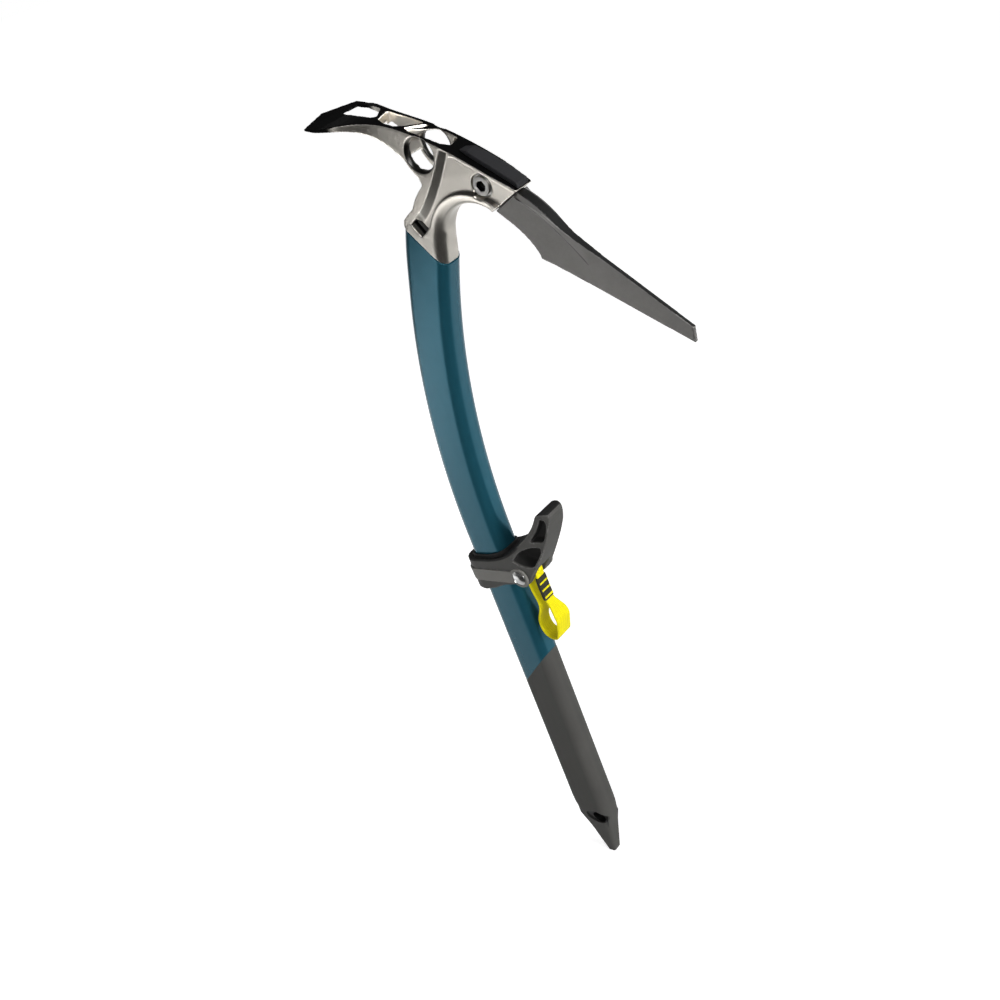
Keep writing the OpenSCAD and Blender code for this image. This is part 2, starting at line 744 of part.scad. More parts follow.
module bar_tacks() color([0.93, 0.88, 0.05]) place() for (z = [226, 231, 236]) intersection() {
    seat = web_t / 2 + keeper_t + 0.02;
    keeper_strip(seat, seat + tack_t, gather_h + 0.3);
    translate([30, 0, z]) cube([20, 20, tack_w], center = true);
}

shaft_tube();
shaft_plug();
grip_sleeve();
spike_insert();
spike_pin();
head_forging();
head_key();
head_cap();
pick();
pick_bolt();
bolt_washer();
pick_nut();
trigger_body();
trigger_liner();
trigger_strap();
trigger_axle();
trigger_spacer();
webbing_loop();
webbing_keeper();
bar_tacks();
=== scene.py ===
import bmesh
import bpy
import math
import numpy as np
from mathutils import Matrix, Vector


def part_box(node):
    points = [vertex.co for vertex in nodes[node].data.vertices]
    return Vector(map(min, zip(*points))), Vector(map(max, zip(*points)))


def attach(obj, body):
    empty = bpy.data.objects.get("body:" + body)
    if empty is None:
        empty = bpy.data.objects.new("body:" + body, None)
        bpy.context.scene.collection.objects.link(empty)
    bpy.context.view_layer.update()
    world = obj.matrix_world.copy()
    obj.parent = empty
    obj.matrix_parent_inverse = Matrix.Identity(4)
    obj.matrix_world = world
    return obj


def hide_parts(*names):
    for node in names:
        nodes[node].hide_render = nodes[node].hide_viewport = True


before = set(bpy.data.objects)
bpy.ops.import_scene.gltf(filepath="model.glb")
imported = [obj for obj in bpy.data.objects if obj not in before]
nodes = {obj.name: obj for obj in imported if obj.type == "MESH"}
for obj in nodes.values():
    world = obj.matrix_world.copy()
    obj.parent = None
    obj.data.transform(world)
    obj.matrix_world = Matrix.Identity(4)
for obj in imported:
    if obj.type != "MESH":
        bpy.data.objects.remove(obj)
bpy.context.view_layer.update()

# Camera, solved from the photograph: its place, its right and up directions, and its lens
CAMERA_AT = Vector((0.47227, -0.44830, 0.13014))
CAMERA_RIGHT = Vector((0.73223, 0.60088, -0.32059))
CAMERA_UP = Vector((-0.08032, 0.54363, 0.83547))
LENS_MM = 46.8
SENSOR_MM = 36.0

# Dimensions in millimetres in the shaft's frame: x = 0 on the lower axis, z = 0 just under the spike's foot
CLIP_EYE = np.array([64.3, 0.0, 504.8])
SHAFT_HALF_W = 14.0
SHAFT_HALF_T = 8.5
SHAFT_CORNER = 6.0
BEND_Z = 270.0
BEND_R = 425.0
BEND_ANGLE = math.radians(26.0)
COLLAR_SLOPE = 0.5
GRIP_TOP = 167.0
GRIP_SLOPE = 0.97
FOOT_EYE = np.array([6.0, 0.0, 39.0])
FOOT_EYE_R = 5.0
# The oval cut through the sleeve round the lower eye: its middle and its half axes
FOOT_OVAL_X = FOOT_EYE[0] - 2.0
FOOT_OVAL_W = FOOT_EYE_R + 3.0
FOOT_OVAL_H = FOOT_EYE_R + 0.3
# The rivet's axis, and how far from the middle plane its heads sit
RIVET_X = 24.6
RIVET_Z = 246.4
RIVET_SEAT = 12.95
# The webbing: its half width, gathered and loose, its half thickness, and how far the loop's front spreads
WEB_GATHER = 3.6
WEB_LOOSE = 5.0
WEB_HALF_T = 0.75
WEB_SPREAD = 1.4
# The webbing's radius round the rivet, the keeper's upper end, half width and half thickness, and the bar
# tacks: their heights, half their length along the strand, and their number of threads
WEB_WRAP_R = 4.7
KEEPER_TOP = 240.2
KEEPER_HALF_W = WEB_GATHER + 0.5
KEEPER_HALF_T = WEB_HALF_T + 0.6
TACK_LEVELS = (226.0, 231.0, 236.0)
TACK_HALF = 0.75
TACK_THREADS = 13
# The rolled elbow under the head: its centre, inner radius, the bearings of its ends, its groove's radius
ELBOW = np.array([80.9, 452.0])
ELBOW_R = 24.5
ELBOW_IN = 162.0
ELBOW_OUT = 66.0
GROOVE_R = ELBOW_R + 6.9
# The pocket in the head's side: the width of its wall, its floor's limits on x, the half thickness of its
# floor and of the plates, and the radius of the rim round the clip eye that stays as it is
POCKET_WALL = 3.9
POCKET_BACK = 60.0
POCKET_FRONT = 100.0
POCKET_FLOOR = 6.0
COLLAR_PLATE = 8.5
BRIDGE_PLATE = 8.2
EYE_RIM_R = 10.4
# How dark the painted shade low on the collar is, and how far a worn edge stands out from its neighbours
COLLAR_PAINTED_SHADE = 0.75
EDGE_RISE = 0.05
# The bolt's axis as x and z, and the radius that its seat takes up
BOLT = np.array([95.9, 485.2])
BOLT_SEAT_R = 7.4
# The floor lies just under the spike's foot, in row-frame millimetres
FLOOR_Z = -504.3
# The backdrop's direction behind the object, the level of the soft light, the floor's lift to white as seen
# and as mirrored, and the dark flag on the floor in front, which only reflections show
BACKDROP_WAY = (-0.76, 0.65, 0.0)
ACROSS_WAY = (0.65, 0.76, 0.0)
WORLD_LEVEL = 0.11
FAR_LIFT = 0.92
NEAR_SHOWN = 0.62
NEAR_MIRRORED = 0.12
FLAG_SPLAY = 0.2
FLAG_DEPTH = 0.9


def row(points):
    """Millimetres in the shaft's frame to metres in the row frame."""
    return (np.asarray(points, float) - CLIP_EYE) / 1000.0


def ramp(low, high, x):
    """A ramp from 0 at low to 1 at high, flat at both ends."""
    t = np.clip((x - low) / (high - low), 0.0, 1.0)
    return t * t * (3.0 - 2.0 * t)


def bezier(a, b, c, d, count):
    """A cubic curve: the four points weighted by the terms of (1 - t + t) cubed."""
    t = np.linspace(0.0, 1.0, count)[:, None]
    s = 1.0 - t
    a, b, c, d = (np.asarray(p, float) for p in (a, b, c, d))
    return s ** 3 * a + 3 * s * s * t * b + 3 * s * t * t * c + t ** 3 * d


def rounded_ring(half_w, half_t, radius, per_corner=8):
    """A rectangle with round corners: four quarter circles set out to the corner centres.
    The sizes may be arrays; the ring then is one of each size, along the last two axes."""
    half_w, half_t, radius = (np.asarray(q, float)[..., None] for q in (half_w, half_t, radius))
    turn = np.linspace(0.0, math.pi / 2, per_corner)
    angle = np.concatenate([turn + k * math.pi / 2 for k in range(4)])
    sign_x = np.repeat([1.0, -1.0, -1.0, 1.0], per_corner)
    sign_y = np.repeat([1.0, 1.0, -1.0, -1.0], per_corner)
    x = sign_x * (half_w - radius) + radius * np.cos(angle)
    y = sign_y * (half_t - radius) + radius * np.sin(angle)
    return np.stack([x, y], -1)


def link(obj):
    """Puts an object into the scene."""
    bpy.context.scene.collection.objects.link(obj)
    return obj


def shade(mesh, angle):
    """Smooth shading that breaks at edges sharper than the angle in degrees."""
    mesh.polygons.foreach_set("use_smooth", np.ones(len(mesh.polygons), bool))
    mesh.set_sharp_from_angle(angle=math.radians(angle))


def surface(name, grid, closed_v=False, caps=True, angle=40.0):
    """A mesh from a grid of points in millimetres, [along, around, xyz], closed around.
    Its UV map holds the metres run around and along, taken on the first row and column."""
    along, around = grid.shape[:2]
    index = np.arange(along * around).reshape(along, around)
    right = np.roll(index, -1, axis=1)
    rows = slice(None) if closed_v else slice(0, -1)
    up = np.roll(index, -1, axis=0)
    up_right = np.roll(right, -1, axis=0)
    quads = np.stack([index[rows], right[rows], up_right[rows], up[rows]], -1).reshape(-1, 4)
    faces = quads.tolist()
    if caps and not closed_v:
        faces.append(index[0][::-1].tolist())
        faces.append(index[-1].tolist())
    mesh = bpy.data.meshes.new(name)
    mesh.from_pydata(row(grid).reshape(-1, 3).tolist(), [], faces)
    girth = np.linalg.norm(np.diff(np.vstack([grid[0], grid[0][:1]]), axis=0), axis=1)
    run = np.linalg.norm(np.diff(grid[:, 0], axis=0), axis=1)
    around_at = np.concatenate([[0.0], np.cumsum(girth)]) / 1000.0
    along_at = np.concatenate([[0.0], np.cumsum(run), [run.sum() + run.mean()]]) / 1000.0
    i, j = np.meshgrid(np.arange(quads.shape[0] // around), np.arange(around), indexing="ij")
    corner_u = np.stack([j, j + 1, j + 1, j], -1)
    corner_v = np.stack([i, i, i + 1, i + 1], -1)
    uv = np.zeros((len(mesh.loops), 2))
    uv[:quads.size, 0] = around_at[corner_u].ravel()
    uv[:quads.size, 1] = along_at[corner_v].ravel()
    mesh.uv_layers.new(name="run").data.foreach_set("uv", uv.ravel())
    turn_outwards(mesh)
    shade(mesh, angle)
    return link(bpy.data.objects.new(name, mesh))


def edit(mesh, change):
    """Opens a mesh for editing, runs a change on it and writes it back."""
    work = bmesh.new()
    work.from_mesh(mesh)
    change(work)
    work.to_mesh(mesh)
    work.free()


def turn_outwards(mesh):
    """Makes the faces of a closed mesh point outwards."""
    edit(mesh, lambda work: bmesh.ops.recalc_face_normals(work, faces=work.faces))


def baked(obj):
    """Replaces an object's mesh by the result of its modifiers."""
    graph = bpy.context.evaluated_depsgraph_get()
    result = bpy.data.meshes.new_from_object(obj.evaluated_get(graph))
    obj.modifiers.clear()
    obj.data = result
    return obj


def even_out(obj, voxel_mm, passes, limit=90000):
    """Remeshes an object in small cells and smooths it, so that its edges are rounded like forged or
    moulded ones; faces are thinned to the limit."""
    cells = obj.modifiers.new("cells", "REMESH")
    cells.mode = "VOXEL"
    cells.voxel_size = voxel_mm / 1000.0
    ease = obj.modifiers.new("ease", "SMOOTH")
    ease.factor = 0.5
    ease.iterations = passes
    baked(obj)
    count = len(obj.data.polygons)
    if count > limit:
        thin = obj.modifiers.new("thin", "DECIMATE")
        thin.ratio = limit / count
        baked(obj)
    keep_largest(obj.data)
    shade(obj.data, 60.0)


def edge_ends(mesh):
    """The two vertex numbers of each edge."""
    ends = np.empty(len(mesh.edges) * 2, np.int64)
    mesh.edges.foreach_get("vertices", ends)
    return ends.reshape(-1, 2)


def neighbour_mean(ends, values):
    """The mean over each vertex's neighbours of values that have one entry or row for each vertex."""
    total = np.zeros_like(values)
    np.add.at(total, ends[:, 0], values[ends[:, 1]])
    np.add.at(total, ends[:, 1], values[ends[:, 0]])
    share = np.bincount(ends.ravel(), minlength=len(values))
    return (total.T / share).T


def keep_largest(mesh):
    """Deletes what isn't joined to a mesh's largest part: each vertex takes the lowest number among its
    neighbours until nothing changes, and the most frequent number stays."""
    first, second = edge_ends(mesh).T
    label = np.arange(len(mesh.vertices))
    changed = True
    while changed:
        low = label.copy()
        np.minimum.at(low, first, label[second])
        np.minimum.at(low, second, label[first])
        low = low[low]
        changed = bool((low != label).any())
        label = low
    loose = np.nonzero(label != np.bincount(label).argmax())[0]

    def drop_loose(work):
        work.verts.ensure_lookup_table()
        bmesh.ops.delete(work, geom=[work.verts[int(i)] for i in loose], context="VERTS")

    edit(mesh, drop_loose)


def softened(node, name, voxel_mm, passes):
    """A copy of a CAD solid, merged and evened out."""
    mesh = nodes[node].data.copy()
    mesh.materials.clear()
    edit(mesh, lambda work: bmesh.ops.remove_doubles(work, verts=work.verts, dist=2e-6))
    obj = link(bpy.data.objects.new(name, mesh))
    even_out(obj, voxel_mm, passes)
    return obj


def vertex_places(mesh):
    """The vertices in millimetres in the shaft's frame, and their normals."""
    place = np.empty(len(mesh.vertices) * 3)
    mesh.vertices.foreach_get("co", place)
    normal = np.empty(len(mesh.vertices) * 3)
    mesh.vertex_normals.foreach_get("vector", normal)
    return place.reshape(-1, 3) * 1000.0 + CLIP_EYE, normal.reshape(-1, 3)


def move_vertices(mesh, place):
    """Puts the vertices at places in millimetres in the shaft's frame."""
    mesh.vertices.foreach_set("co", row(place).ravel())
    mesh.update()


def relax(mesh, weight, rounds):
    """Draws each vertex towards the mean of its neighbours by its weight, a number of times."""
    place, _ = vertex_places(mesh)
    ends = edge_ends(mesh)
    for _ in range(rounds):
        place += weight[:, None] * (neighbour_mean(ends, place) - place)
    move_vertices(mesh, place)


def off_line(place, line):
    """The signed distance in the x and z plane to a line of points, positive on its right side."""
    flat = place[:, [0, 2]]
    best = np.full(len(flat), 1e9)
    signed = np.zeros(len(flat))
    for a, b in zip(line[:-1], line[1:]):
        run = b - a
        t = np.clip(((flat - a) @ run) / (run @ run), 0.0, 1.0)
        gap = flat - a - t[:, None] * run
        size = np.linalg.norm(gap, axis=1)
        nearer = size < best
        best[nearer] = size[nearer]
        side = gap[:, 0] * run[1] - gap[:, 1] * run[0]
        signed[nearer] = (np.sign(side) * size)[nearer]
    return signed


def store(mesh, name, values):
    """Keeps one number for each vertex as a mesh attribute for the materials."""
    layer = mesh.attributes.new(name, "FLOAT", "POINT")
    layer.data.foreach_set("value", np.asarray(values, np.float32))


def edge_mask(mesh):
    """How far each vertex stands out from the mean of its neighbours along its normal,
    scaled so that a worn outer edge is near 1 and flats and hollows are 0."""
    place, normal = vertex_places(mesh)
    ends = edge_ends(mesh)
    out = ((place - neighbour_mean(ends, place)) * normal).sum(1)
    mask = np.clip(out / EDGE_RISE, 0.0, 1.0)
    return 0.5 * mask + 0.5 * neighbour_mean(ends, mask)


# Node helpers
def feed(tree, node, inputs):
    """Sets a node's inputs, by name or number, each to a value or to another node's output."""
    for key, value in inputs.items():
        if isinstance(value, bpy.types.NodeSocket):
            tree.links.new(value, node.inputs[key])
        else:
            node.inputs[key].default_value = value


def put(tree, kind, inputs=None, **settings):
    """Adds a node with its settings and inputs."""
    node = tree.nodes.new(kind)
    for key, value in settings.items():
        setattr(node, key, value)
    feed(tree, node, inputs or {})
    return node


def group(name, sockets_in, sockets_out):
    """An empty node group with float or vector sockets, and its two end nodes."""
    tree = bpy.data.node_groups.new(name, "ShaderNodeTree")
    for label, kind, default in sockets_in:
        socket = tree.interface.new_socket(label, in_out="INPUT", socket_type=kind)
        if default is not None:
            socket.default_value = default
    for label, kind in sockets_out:
        tree.interface.new_socket(label, in_out="OUTPUT", socket_type=kind)
    return tree, tree.nodes.new("NodeGroupInput"), tree.nodes.new("NodeGroupOutput")


FLOAT = "NodeSocketFloat"
VECTOR = "NodeSocketVector"
EVEN = (1.0, 1.0, 1.0)


def math_node(tree, operation, a, b=0.0, clamp=False):
    """One arithmetic step; returns its output."""
    return put(tree, "ShaderNodeMath", {0: a, 1: b}, operation=operation, use_clamp=clamp).outputs[0]


def times(tree, a, b):
    """The product of two values; returns its output."""
    return math_node(tree, "MULTIPLY", a, b)


def plus(tree, a, b):
    """The sum of two values; returns its output."""
    return math_node(tree, "ADD", a, b)


def ramp_between(tree, value, low, high):
    """A smooth ramp from 0 at low to 1 at high; returns its output."""
    return put(tree, "ShaderNodeMapRange", {"Value": value, "From Min": low, "From Max": high},
               interpolation_type="SMOOTHSTEP").outputs["Result"]


def carry(tree, value, start, end, low, high):
    """Carries a value from between start and end to between low and high; returns its output."""
    return put(tree, "ShaderNodeMapRange", {"Value": value, "From Min": start, "From Max": end,
                                            "To Min": low, "To Max": high}).outputs["Result"]


def noise(tree, place, scale, detail, roughness=0.5):
    """Noise over a place, from 0 to 1; returns its output."""
    return put(tree, "ShaderNodeTexNoise", {"Vector": place, "Scale": scale, "Detail": detail,
                                            "Roughness": roughness}).outputs[0]


def make_grain_group():
    """Fine grain: noise on a stretched place as a height, and mixed with broad noise as a shade."""
    tree, start, end = group("satin_grain", [("Place", VECTOR, None), ("Stretch", VECTOR, EVEN),
                                             ("Scale", FLOAT, 1.0)], [("Height", FLOAT), ("Shade", FLOAT)])
    stretched = put(tree, "ShaderNodeVectorMath", {0: start.outputs["Place"], 1: start.outputs["Stretch"]},
                    operation="MULTIPLY").outputs[0]
    fine = noise(tree, stretched, start.outputs["Scale"], 4.0, 0.6)
    broad_scale = times(tree, start.outputs["Scale"], 0.06)
    broad = noise(tree, start.outputs["Place"], broad_scale, 3.0)
    fine_part = times(tree, fine, 0.4)
    broad_part = times(tree, broad, 0.6)
    feed(tree, end, {"Height": fine, "Shade": plus(tree, fine_part, broad_part)})
    return tree


def make_wear_group():
    """Rubbed edges: the edge attribute broken up by noise, as a mask from 0 to 1."""
    tree, start, end = group("rubbed_edges", [("Place", VECTOR, None), ("Edge", FLOAT, 0.0),
                                              ("Amount", FLOAT, 0.5)], [("Mask", FLOAT)])
    speck = noise(tree, start.outputs["Place"], 900.0, 5.0)
    patch = noise(tree, start.outputs["Place"], 60.0, 2.0)
    mixed = times(tree, ramp_between(tree, speck, 0.3, 0.7), ramp_between(tree, patch, 0.3, 0.6))
    worn = times(tree, mixed, start.outputs["Edge"])
    feed(tree, end, {"Mask": math_node(tree, "MULTIPLY", worn, start.outputs["Amount"], True)})
    return tree


def make_mould_group():
    """Moulded grain of plastic or rubber: rounded cells and fine noise as a height, and broad noise
    as a shade."""
    tree, start, end = group("moulded_grain", [("Place", VECTOR, None), ("Scale", FLOAT, 1500.0)],
                             [("Height", FLOAT), ("Shade", FLOAT)])
    place = start.outputs["Place"]
    scale = start.outputs["Scale"]
    cell = put(tree, "ShaderNodeTexVoronoi", {"Vector": place, "Scale": scale},
               feature="SMOOTH_F1").outputs["Distance"]
    fine = noise(tree, place, times(tree, scale, 2.3), 3.0)
    broad = noise(tree, place, 45.0, 5.0)
    half = times(tree, fine, 0.5)
    feed(tree, end, {"Height": plus(tree, cell, half), "Shade": broad})
    return tree


def make_weave_group():
    """Webbing weave from the UV run: ribs across the strip, each rib a row of slanted yarns."""
    tree, start, end = group("webbing_weave", [("Run", VECTOR, None), ("Rib", FLOAT, 0.0011)],
                             [("Height", FLOAT), ("Shade", FLOAT)])
    parts = put(tree, "ShaderNodeSeparateXYZ", {0: start.outputs["Run"]})
    along = math_node(tree, "DIVIDE", parts.outputs["Y"], start.outputs["Rib"])
    across = math_node(tree, "DIVIDE", parts.outputs["X"], start.outputs["Rib"])
    slant = math_node(tree, "PINGPONG", across, 1.0)
    phase = plus(tree, along, times(tree, slant, 0.5))
    rib = math_node(tree, "ABSOLUTE", math_node(tree, "SINE", times(tree, phase, math.pi)))
    yarn_turn = times(tree, across, math.pi)
    yarn = math_node(tree, "ABSOLUTE", math_node(tree, "SINE", yarn_turn))
    yarn_rise = plus(tree, times(tree, yarn, 0.6), 0.4)
    height = times(tree, rib, yarn_rise)
    fuzzy = plus(tree, height, noise(tree, start.outputs["Run"], 700.0, 4.0))
    feed(tree, end, {"Height": height, "Shade": times(tree, fuzzy, 0.5)})
    return tree


GRAIN = make_grain_group()
WEAR = make_wear_group()
MOULD = make_mould_group()
WEAVE = make_weave_group()


def start_material(name):
    """A material with only a Principled shader; returns it, its tree, the shader and the object place."""
    material = bpy.data.materials.new(name)
    material.use_nodes = True
    tree = material.node_tree
    shader = tree.nodes["Principled BSDF"]
    place = put(tree, "ShaderNodeTexCoord").outputs["Object"]
    return material, tree, shader, place


def use_group(tree, which, **inputs):
    """Places a node group with its own values."""
    return put(tree, "ShaderNodeGroup", inputs, node_tree=which)


def blend_colours(tree, factor, first, second):
    """Two colours mixed by a factor; returns the output."""
    first, second = (c if isinstance(c, bpy.types.NodeSocket) else (*c, 1.0) for c in (first, second))
    return put(tree, "ShaderNodeMix", {0: factor, 6: first, 7: second}, data_type="RGBA").outputs[2]


def bump(tree, grain, strength, distance):
    """A bump from a grain group's height; returns the normal."""
    return put(tree, "ShaderNodeBump", {"Height": grain.outputs["Height"], "Strength": strength,
                                        "Distance": distance}).outputs[0]


def spread(tree, value, low, high):
    """Carries noise, which mostly lies between a quarter and three quarters, onto low to high."""
    return carry(tree, value, 0.25, 0.75, low, high)


def attribute(tree, name):
    """The number that the mesh keeps under a name."""
    return put(tree, "ShaderNodeAttribute", attribute_name=name).outputs["Fac"]


def shaded(tree, grain, dark, light):
    """A colour between dark and light by a grain group's shade; returns the output."""
    return blend_colours(tree, spread(tree, grain.outputs["Shade"], 0.0, 1.0), dark, light)


def rubbed(tree, place, amount, colour, bright):
    """A colour that turns bright on the mesh's rubbed edges; returns the output."""
    worn = use_group(tree, WEAR, Place=place, Edge=attribute(tree, "edge"), Amount=amount)
    return blend_colours(tree, worn.outputs["Mask"], colour, bright)


def grey(level):
    """A colour with three equal parts."""
    return (level, level, level)


def metal(name, dark, light, rough, grain_scale, bump_mm, wear=0.0, wear_colour=(0.7, 0.69, 0.67)):
    """Satin metal: grain varies its colour and roughness, its worn edges are brighter, and it is painted
    near black, as shade in hollows, where the mesh's dark attribute is 1."""
    material, tree, shader, place = start_material(name)
    grain = use_group(tree, GRAIN, Place=place, Stretch=EVEN, Scale=grain_scale)
    colour = shaded(tree, grain, dark, light)
    if wear > 0.0:
        colour = rubbed(tree, place, wear, colour, wear_colour)
    # Painted shade: near black as far as the mesh's dark attribute says
    feed(tree, shader, {
        "Base Color": blend_colours(tree, attribute(tree, "dark"), colour, grey(0.012)),
        "Metallic": 1.0,
        "Roughness": spread(tree, grain.outputs["Shade"], rough - 0.05, rough + 0.05),
        "Normal": bump(tree, grain, 0.3, bump_mm / 1000.0)})
    return material


def moulded(name, dark, light, rough, scale, bump_mm, wear=0.0, wear_colour=(0.16, 0.16, 0.155)):
    """Moulded plastic or rubber: a fine cell grain, broad random tone and paler rubbed edges; it is painted
    near black and matte, as shade on upper faces and in hollows, where the mesh's dark attribute is 1."""
    material, tree, shader, place = start_material(name)
    mould = use_group(tree, MOULD, Place=place, Scale=scale)
    colour = shaded(tree, mould, dark, light)
    if wear > 0.0:
        colour = rubbed(tree, place, wear, colour, wear_colour)
    # Painted shade: near black and matte as far as the mesh's dark attribute says
    painted_shade_mask = attribute(tree, "dark")
    matte = times(tree, painted_shade_mask, 0.9 - rough)
    uneven = spread(tree, mould.outputs["Shade"], rough - 0.06, rough + 0.06)
    feed(tree, shader, {
        "Base Color": blend_colours(tree, painted_shade_mask, colour, grey(0.006)),
        "Specular IOR Level": 0.22,
        "Roughness": plus(tree, uneven, matte),
        "Normal": bump(tree, mould, 0.5, bump_mm / 1000.0)})
    return material


def webbing(name, dark, light, rib_m, bump_mm):
    """Woven webbing: ribs from the weave group, darker between them, with a soft sheen."""
    material, tree, shader, _ = start_material(name)
    run = put(tree, "ShaderNodeUVMap", uv_map="run").outputs[0]
    weave = use_group(tree, WEAVE, Run=run, Rib=rib_m)
    feed(tree, shader, {
        "Base Color": shaded(tree, weave, dark, light),
        "Roughness": 0.75,
        "Sheen Weight": 0.02,
        "Specular IOR Level": 0.1,
        "Normal": bump(tree, weave, 0.7, bump_mm / 1000.0)})
    return material


def head_material():
    """Satin forged metal, painted near black where the mesh's coat attribute is 1 as a painted dark
    reflection of its upward faces, its border broken up a little by the grain, and painted darker grey as
    far as its painted shade attribute says, for the shade on the pocket's wall and low on the collar."""
    material, tree, shader, place = start_material("head_silver_with_painted_shade")
    grain = use_group(tree, GRAIN, Place=place, Stretch=EVEN, Scale=1400.0)
    silver = shaded(tree, grain, (0.744, 0.704, 0.636), (0.776, 0.734, 0.664))
    # Painted shade: darker grey on the pocket's sloped wall and low on the collar
    recess = blend_colours(tree, attribute(tree, "recess"), silver, (0.36, 0.345, 0.315))
    edged = rubbed(tree, place, 0.5, recess, (0.82, 0.81, 0.79))
    # Painted shade: near black in the groove, the clip eye's bore and the key's window
    bright = blend_colours(tree, attribute(tree, "dark"), edged, grey(0.02))
    # Painted dark reflection: the upward-facing top and the adze turn near black, drawn as a black coat
    off_mean = math_node(tree, "SUBTRACT", grain.outputs["Height"], 0.5)
    ragged = plus(tree, attribute(tree, "coat"), times(tree, off_mean, 0.2))
    coat = ramp_between(tree, ragged, 0.15, 0.85)
    rough = spread(tree, grain.outputs["Shade"], 0.28, 0.31)
    feed(tree, shader, {
        "Base Color": blend_colours(tree, coat, bright, (0.002, 0.002, 0.0021)),
        "Specular IOR Level": 0.02,
        "Metallic": math_node(tree, "SUBTRACT", 1.0, coat),
        "Roughness": plus(tree, rough, times(tree, coat, 0.25)),
        "Normal": bump(tree, grain, 0.25, 0.00004)})
    return material


def pick_material():
    """Dark satin steel, ground along the blade, with a paler flange, a painted shadow line at its step,
    painted shade on its upward-facing top edge and brighter rubbed edges."""
    material, tree, shader, place = start_material("pick_ground_steel")
    grain = use_group(tree, GRAIN, Place=place, Stretch=(0.35, 1.0, 0.35), Scale=1600.0)
    steel = shaded(tree, grain, (0.165, 0.16, 0.152), (0.21, 0.205, 0.198))
    flange = blend_colours(tree, attribute(tree, "flange"), steel, (0.22, 0.216, 0.208))
    # Painted shadow: a dark line at the flange's step
    step_shadowed = blend_colours(tree, attribute(tree, "step"), flange, grey(0.03))
    # Painted shade: near black where the top faces up
    top = blend_colours(tree, attribute(tree, "top"), step_shadowed, grey(0.012))
    feed(tree, shader, {
        "Base Color": rubbed(tree, place, 0.35, top, (0.42, 0.415, 0.41)),
        "Metallic": 0.9,
        "Roughness": spread(tree, grain.outputs["Shade"], 0.4, 0.5),
        "Normal": bump(tree, grain, 0.35, 0.00005)})
    return material


def shaft_material():
    """Blue anodised tube: drawn grain along the shaft, a clear satin coat and faint handling marks."""
    material, tree, shader, place = start_material("shaft_blue_anodised")
    run = put(tree, "ShaderNodeUVMap", uv_map="run").outputs[0]
    grain = use_group(tree, GRAIN, Place=run, Stretch=(1.0, 0.03, 1.0), Scale=2600.0)
    feed(tree, shader, {
        "Base Color": shaded(tree, grain, (0.0105, 0.073, 0.106), (0.0145, 0.084, 0.120)),
        "Metallic": 0.55,
        "Specular IOR Level": 0.2,
        "Roughness": spread(tree, noise(tree, place, 14.0, 2.0), 0.19, 0.23),
        "Coat Weight": 0.12,
        "Coat Roughness": 0.1,
        "Normal": bump(tree, grain, 0.12, 0.00002)})
    return material


MATERIALS = {
    "head_metal": head_material(),
    "pick_steel": pick_material(),
    "shaft_blue": shaft_material(),
    "spike_steel": metal("spike_dark_steel", grey(0.012), grey(0.02), 0.45, 1200.0, 0.05),
    "pin_steel": metal("pin_bright_steel", grey(0.5), (0.6, 0.6, 0.59), 0.3, 1500.0, 0.02),
    "bolt_steel": metal("bolt_turned_steel", (0.42, 0.415, 0.40), (0.50, 0.495, 0.48), 0.34, 1500.0, 0.03,
                        wear=0.6),
    "rivet_steel": metal("rivet_polished", (0.50, 0.50, 0.49), (0.58, 0.58, 0.57), 0.16, 900.0, 0.01),
    "grip_rubber": moulded("grip_rubber", (0.039, 0.0385, 0.036), (0.050, 0.049, 0.0455), 0.6, 1300.0,
                           0.05),
    "plug_foam": moulded("plug_foam", grey(0.02), grey(0.04), 0.9, 900.0, 0.1),
    "key_plastic": moulded("key_plastic", grey(0.02), grey(0.03), 0.5, 1500.0, 0.02),
    "cap_plastic": moulded("cap_plastic", (0.011, 0.011, 0.012), (0.015, 0.015, 0.017), 0.55, 1700.0,
                           0.03, wear=0.25, wear_colour=grey(0.07)),
    "rest_plastic": moulded("rest_plastic", (0.040, 0.0395, 0.037), (0.052, 0.051, 0.048), 0.55, 1500.0,
                            0.03, wear=0.9),
    "liner_plastic": moulded("liner_plastic", grey(0.010), grey(0.016), 0.6, 1500.0, 0.02),
    "strap_plastic": moulded("strap_plastic", (0.115, 0.112, 0.104), (0.14, 0.137, 0.127), 0.5, 1700.0,
                             0.02, wear=0.4, wear_colour=(0.24, 0.235, 0.22)),
    "webbing_yellow": webbing("webbing_yellow", (0.46, 0.405, 0.003), (0.66, 0.587, 0.004), 0.0011, 0.16),
    "webbing_black": webbing("webbing_black", (0.012, 0.012, 0.010), (0.035, 0.036, 0.024), 0.0010, 0.16),
}


def finish_piece(obj, body, slot, *replaced):
    """Gives a piece its body, its material and the CAD nodes that it stands for."""
    obj.data.materials.clear()
    obj.data.materials.append(MATERIALS[slot])
    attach(obj, body)
    if replaced:
        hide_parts(*replaced)
    return obj


def make_softened(node, name, voxel_mm, passes, body, slot):
    """A CAD solid with eased edges and an edge attribute."""
    piece = softened(node, name, voxel_mm, passes)
    store(piece.data, "edge", edge_mask(piece.data))
    return finish_piece(piece, body, slot, node)


